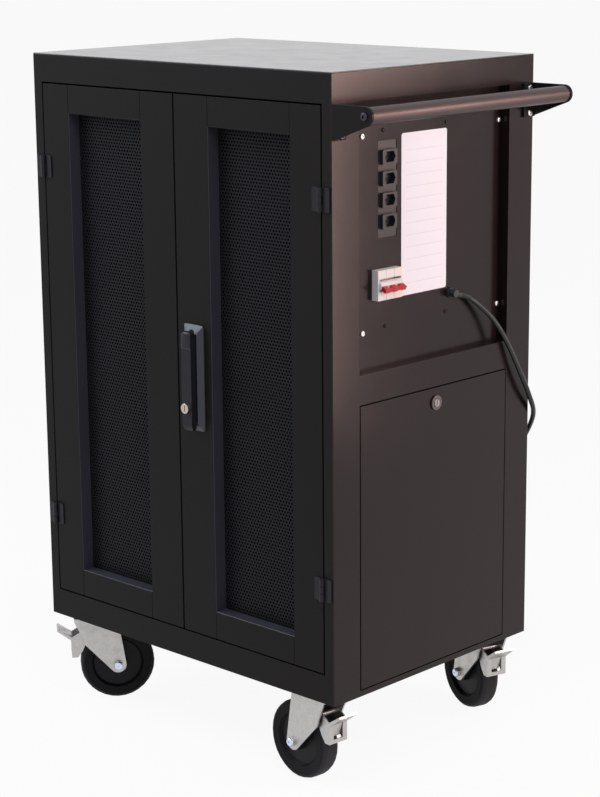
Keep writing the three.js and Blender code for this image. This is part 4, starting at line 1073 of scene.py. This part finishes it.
class CART_OT_swing_handle(bpy.types.Operator):
    """Handle base, lever, spindle, key cylinder and latch tongue"""

    bl_idname = "cart.swing_handle"
    bl_label = "Swing handle"

    def execute(self, context):
        satin = moulded("handle_satin", srgb(54, 55, 65), 0.34)
        dark = moulded("lever_satin", srgb(37, 36, 42), 0.36, specular=0.16)
        crown = moulded("lever_crown", srgb(37, 37, 44), 0.26, specular=0.2)
        dress(["handle_base"], satin, 1.2 * MM)
        dress(["handle_lever", "handle_spindle"], dark, 1.2 * MM)
        cap = new_piece("lever_cap", self.cap_mesh(), crown, "handle_lever")
        dress(["handle_key_cylinder"], plated("key_nickel", srgb(196, 182, 172), 0.3), 0.6 * MM)
        zinc = plated("tongue_zinc", context.scene.cart_finishes.zinc, 0.36)
        dress(["latch_tongue"], zinc, 0.5 * MM)
        return {"FINISHED"}

    @staticmethod
    def cap_mesh():
        """A crowned shell over the lever's round top, thinning out down its face."""
        low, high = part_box("handle_lever")
        depth = (high.y - low.y) / 2
        pivot = high.z - depth
        middle_x, middle_y = (low.x + high.x) / 2, (low.y + high.y) / 2
        half = (high.x - low.x) / 2
        rows = [(i / CAP_ROWS, 0.0) for i in range(CAP_ROWS)]
        rows += [(1.0, math.radians(tilt)) for tilt in CAP_TILTS_DEG]
        columns = CAP_COLUMNS
        points, faces = [], []
        for shell in (0, 1):
            for rise, tilt in rows:
                width = half * (1 - CAP_NARROWING * math.sin(tilt) ** 2)
                for c in range(columns + 1):
                    u = 2 * c / columns - 1
                    crown = CAP_EDGE_MM + CAP_CROWN_MM * rise * (1 - u * u)
                    reach = depth + (crown if shell else CAP_LIFT_MM) * MM
                    y = middle_y - reach * math.cos(tilt)
                    z = pivot - CAP_DROP * (1 - rise) + reach * math.sin(tilt)
                    points.append((middle_x + u * width, y, z))
        across = columns + 1
        count = len(rows) * across
        for r in range(len(rows) - 1):
            for c in range(columns):
                a = r * across + c
                faces.append((a, a + across, a + across + 1, a + 1))
                b = count + a
                faces.append((b, b + 1, b + across + 1, b + across))
        rim = list(range(across))
        rim += [r * across + columns for r in range(1, len(rows))]
        rim += [(len(rows) - 1) * across + c for c in reversed(range(columns))]
        rim += [r * across for r in reversed(range(1, len(rows) - 1))]
        for a, b in zip(rim, rim[1:] + rim[:1]):
            faces.append((a, b, count + b, count + a))
        return mesh_from("lever_cap", points, faces, smooth=True)


# Control side

PANEL_SCREWS_MM = [(-149, 990.7), (-149, 702.3), (165, 990.4), (165, 703)]
PANEL_STUDS_MM = [(-98, 706.5), (40, 709), (-103, 996.5), (40, 996.5)]
LABEL_LOW_MM = (-62.5, 746.3)
LABEL_HIGH_MM = (41, 988.2)
LABEL_GAUGE = 0.3 * MM
LABEL_CORNER = 4 * MM
RULE_HALF_LENGTH = 41 * MM
RULE_HALF_PITCH = 9 * MM
RULES_START = 16 * MM
RULES_END = 222 * MM
SOCKET_COUNT = 4
SOCKET_PITCH = 31.5 * MM
SOCKET_DEPTH = 9 * MM
CONTACTS_MM = ((-5, 0), (5, 0), (0, -2.5))
TOGGLE_DRUM = 7 * MM


class CART_OT_control_side(bpy.types.Operator):
    """Control panel with its screws, blank card, outlets, breaker, gland and access panel"""

    bl_idname = "cart.control_side"
    bl_label = "Control side"

    def execute(self, context):
        finishes = context.scene.cart_finishes
        # The control side's panels take the warm side coat, which is painted warm light
        paint = side_coat("panel_paint", finishes)
        dress(["control_panel", "access_panel"], paint, finishes.edge)
        dress(["outlet_strip"], moulded("outlet_plastic", srgb(36, 36, 38), 0.45), 0.5 * MM)
        dress(["breaker_body"], moulded("breaker_white", srgb(236, 234, 232), 0.4), 0.8 * MM)
        dress(["breaker_toggle"], self.toggle_finish(finishes.toggle), 0.8 * MM)
        dress(["cable_gland"], moulded("gland_nylon", srgb(38, 39, 44), 0.4), 0.5 * MM)
        dress(["access_lock_barrel"], plated("lock_black_nickel", srgb(96, 92, 92), 0.3), 0.6 * MM)
        dress(["access_lock_plug"], plated("lock_nickel", srgb(150, 146, 142), 0.3), 0.3 * MM)
        self.screws()
        self.label(finishes.label)
        self.contacts()
        return {"FINISHED"}

    @staticmethod
    def toggle_finish(colour):
        """Coloured fingers on a pale drum."""
        plastic = Finish("breaker_levers", colour, 0.4, specular=0.4)
        radius = plastic.from_axis(joint("breaker_switch"))
        finger = radius.smooth(TOGGLE_DRUM, TOGGLE_DRUM + 0.4 * MM)
        cloud = plastic.noise(6 * MM)
        red = plastic.blend(cloud, shade(colour, 0.85), shade(colour, 1.1))
        plastic.colour(plastic.blend(finger, srgb(226, 222, 222), red))
        plastic.roughness(cloud * 0.12 + 0.34)
        return plastic.material

    @staticmethod
    def screws():
        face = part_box("control_panel")[1].x
        silver = plated("panel_screw_zinc", srgb(222, 222, 222), 0.3)
        black = plated("panel_screw_black", srgb(52, 50, 50), 0.4)
        slot = cross_recess(2.2 * MM, 0.55 * MM)
        for name, places, metal, radius in (
            ("panel_screws", PANEL_SCREWS_MM, silver, 4.2 * MM),
            ("panel_studs", PANEL_STUDS_MM, black, 3.2 * MM),
        ):
            points = [Vector((face, MIDDLE.y + y * MM, z * MM)) for y, z in places]
            mesh = fastener_mesh(name, points, (1, 0, 0), radius, 0.6 * radius, slot)
            new_piece(name, mesh, metal, "cabinet")

    @staticmethod
    def label(colour):
        """A blank card with faint printed rules."""
        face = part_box("control_panel")[1].x
        low, high = cart(0, *LABEL_LOW_MM), cart(0, *LABEL_HIGH_MM)
        outline = rounded_outline((low.y, low.z), (high.y, high.z), LABEL_CORNER)
        count = len(outline)
        points = [(face, y, z) for y, z in outline]
        points += [(face + LABEL_GAUGE, y, z) for y, z in outline]
        faces = [list(range(count, 2 * count)), list(reversed(range(count)))]
        faces += ring_quads(0, count, count)
        card = Finish("blank_card", colour, 0.45, specular=0.4)
        _, y, z = card.axes()
        across = abs(y - (low.y + high.y) / 2)
        inside = 1 - across.smooth(RULE_HALF_LENGTH, RULE_HALF_LENGTH + 0.5 * MM)
        up = z - low.z
        band = up.math("PINGPONG", RULE_HALF_PITCH)
        rule = (1 - band.smooth(0.4 * MM, 0.7 * MM)) * inside
        below_last = 1 - up.smooth(RULES_END, RULES_END + 0.5 * MM)
        height = up.smooth(RULES_START, RULES_START + 0.5 * MM) * below_last
        fibre = card.noise(2 * MM, 3.0)
        stock = card.blend(fibre, shade(colour, 0.985), shade(colour, 1.0))
        card.colour(card.blend(rule * height * 0.2, stock, srgb(150, 146, 158)))
        card.roughness(fibre * 0.1 + 0.4)
        mesh = mesh_from("blank_label", points, faces)
        piece = new_piece("blank_label", mesh, card.material, "cabinet")

    @staticmethod
    def contacts():
        """Three sunk contact tubes in the floor of each outlet well, near-black as painted shadow
        inside them.
        """
        low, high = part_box("outlet_strip")
        floor = high.x - SOCKET_DEPTH
        places = []
        for i in range(SOCKET_COUNT):
            up = (i - (SOCKET_COUNT - 1) / 2) * SOCKET_PITCH
            middle = Vector((floor, (low.y + high.y) / 2, (low.z + high.z) / 2 + up))
            places += [middle + Vector((0, y, z)) * MM for y, z in CONTACTS_MM]
        # Painted shadow: the contacts are coloured near-black for the shade inside the sockets
        dark = moulded("contact_shadow", srgb(18, 18, 19), 0.6)
        mesh = fastener_mesh(
            "outlet_contacts", places, (1, 0, 0), 2.4 * MM, 0.8 * MM, lambda a: 1.9 * MM, 0.2, 16
        )
        new_piece("outlet_contacts", mesh, dark, "cabinet")


# Push handle

TUBE_X_MM = 387.0
TUBE_Z_MM = 1030.0
FLANGE_FACE_MM = 329.0
FLANGE_BOLTS_MM = (998.0, 1036.0)
FRONT_BOLT_INSET = 16 * MM
BACK_BOLT_INSET = 14 * MM


class CART_OT_push_handle(bpy.types.Operator):
    """Tube, brackets and their bolts"""

    bl_idname = "cart.push_handle"
    bl_label = "Push handle"

    def execute(self, context):
        finishes = context.scene.cart_finishes
        # Painted warm light: the tube takes the warm side colour and warm-tinted reflections for
        # its warm highlight band
        tube = powder_coat("tube_paint", SIDE_PAINT_WARM_LIT, 0.44, 0.74, TUBE_PAINTED_WARM_REFLECTION)
        bracket = powder_coat("bracket_paint", shade(finishes.paint, 0.9), 0.36)
        dress(["push_tube"], tube, finishes.edge)
        dress(["front_push_bracket", "back_push_bracket"], bracket, finishes.edge)
        dark = plated("bracket_bolt_black", srgb(66, 64, 70), 0.36)
        bright = plated("flange_bolt_zinc", srgb(206, 206, 206), 0.3)
        socket = hexagon_recess(2.6 * MM)
        for side, node in ((-1, "front_push_bracket"), (1, "back_push_bracket")):
            low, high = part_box(node)
            face = low.y if side < 0 else high.y
            end = Vector((cart(TUBE_X_MM, 0, 0).x, face, TUBE_Z_MM * MM))
            name = node.replace("bracket", "end_bolt")
            mesh = fastener_mesh(name, [end], (0, side, 0), 6 * MM, 3 * MM, socket)
            new_piece(name, mesh, dark, "cabinet")
            flange_x = cart(FLANGE_FACE_MM, 0, 0).x
            middle_y = high.y - BACK_BOLT_INSET if side > 0 else low.y + FRONT_BOLT_INSET
            places = [Vector((flange_x, middle_y, z * MM)) for z in FLANGE_BOLTS_MM]
            name = node.replace("bracket", "flange_bolts")
            mesh = fastener_mesh(name, places, (1, 0, 0), 5 * MM, 3 * MM, socket)
            new_piece(name, mesh, bright if side > 0 else dark, "cabinet")
        return {"FINISHED"}


# Casters

AXLE_END = 30 * MM


class CART_OT_casters(bpy.types.Operator):
    """Plates, forks, tyres and brake pedals"""

    bl_idname = "cart.casters"
    bl_label = "Casters"

    def execute(self, context):
        finishes = context.scene.cart_finishes
        zinc = plated("caster_zinc", finishes.zinc, 0.42)
        bright = plated("axle_zinc", srgb(214, 222, 236), 0.2)
        for place in CASTER_PLACES:
            caster = place + "_caster_"
            dress([caster + "plate", caster + "fork", caster + "brake"], zinc, 0.6 * MM)
            roll = joint(place + "_roll")
            rubber = tyre_rubber(caster + "rubber", finishes.rubber, roll)
            dress([caster + "wheel"], rubber, 0)
            centre, along = Vector(roll["pos_m"]), Vector(roll["axis"])
            for name, side in (("axle_end_left", -1), ("axle_end_right", 1)):
                end = [centre + along * (side * AXLE_END)]
                mesh = fastener_mesh(
                    caster + "axle_end", end, along * side, 7 * MM, 3 * MM, lambda a: 1.5 * MM, 0.8
                )
                new_piece(caster + name, mesh, bright, place + "_fork")
            for face in frame["nodes"][caster + "wheel"].data.polygons:
                face.use_smooth = True
        return {"FINISHED"}


OPERATORS = (
    CART_OT_stage,
    CART_OT_mains_lead,
    CART_OT_cabinet,
    CART_OT_doors,
    CART_OT_swing_handle,
    CART_OT_control_side,
    CART_OT_push_handle,
    CART_OT_casters,
)


class CART_PT_sidebar(bpy.types.Panel):
    """The cart's pieces and sizes"""

    bl_label = "Laptop charging cart"
    bl_idname = "CART_PT_sidebar"
    bl_space_type = "VIEW_3D"
    bl_region_type = "UI"
    bl_category = "Cart"

    def draw(self, context):
        for operator in OPERATORS:
            self.layout.operator(operator.bl_idname)
        for group in (getattr(context.scene, name) for name in GROUPS):
            for name in group.__annotations__:
                self.layout.prop(group, name)


GROUPS = {
    "cart_finishes": CartFinishes,
    "cart_grille": CartGrille,
    "cart_lead": CartLead,
    "cart_stage": CartStage,
}
CLASSES = (*GROUPS.values(), *OPERATORS, CART_PT_sidebar)


def register():
    for cls in CLASSES:
        bpy.utils.register_class(cls)
    for name, group in GROUPS.items():
        setattr(bpy.types.Scene, name, PointerProperty(type=group))


def unregister():
    for name in GROUPS:
        delattr(bpy.types.Scene, name)
    for cls in reversed(CLASSES):
        bpy.utils.unregister_class(cls)


def main():
    register()
    for operator in OPERATORS:
        module, name = operator.bl_idname.split(".")
        getattr(getattr(bpy.ops, module), name)()


if __name__ == "__main__":
    main()
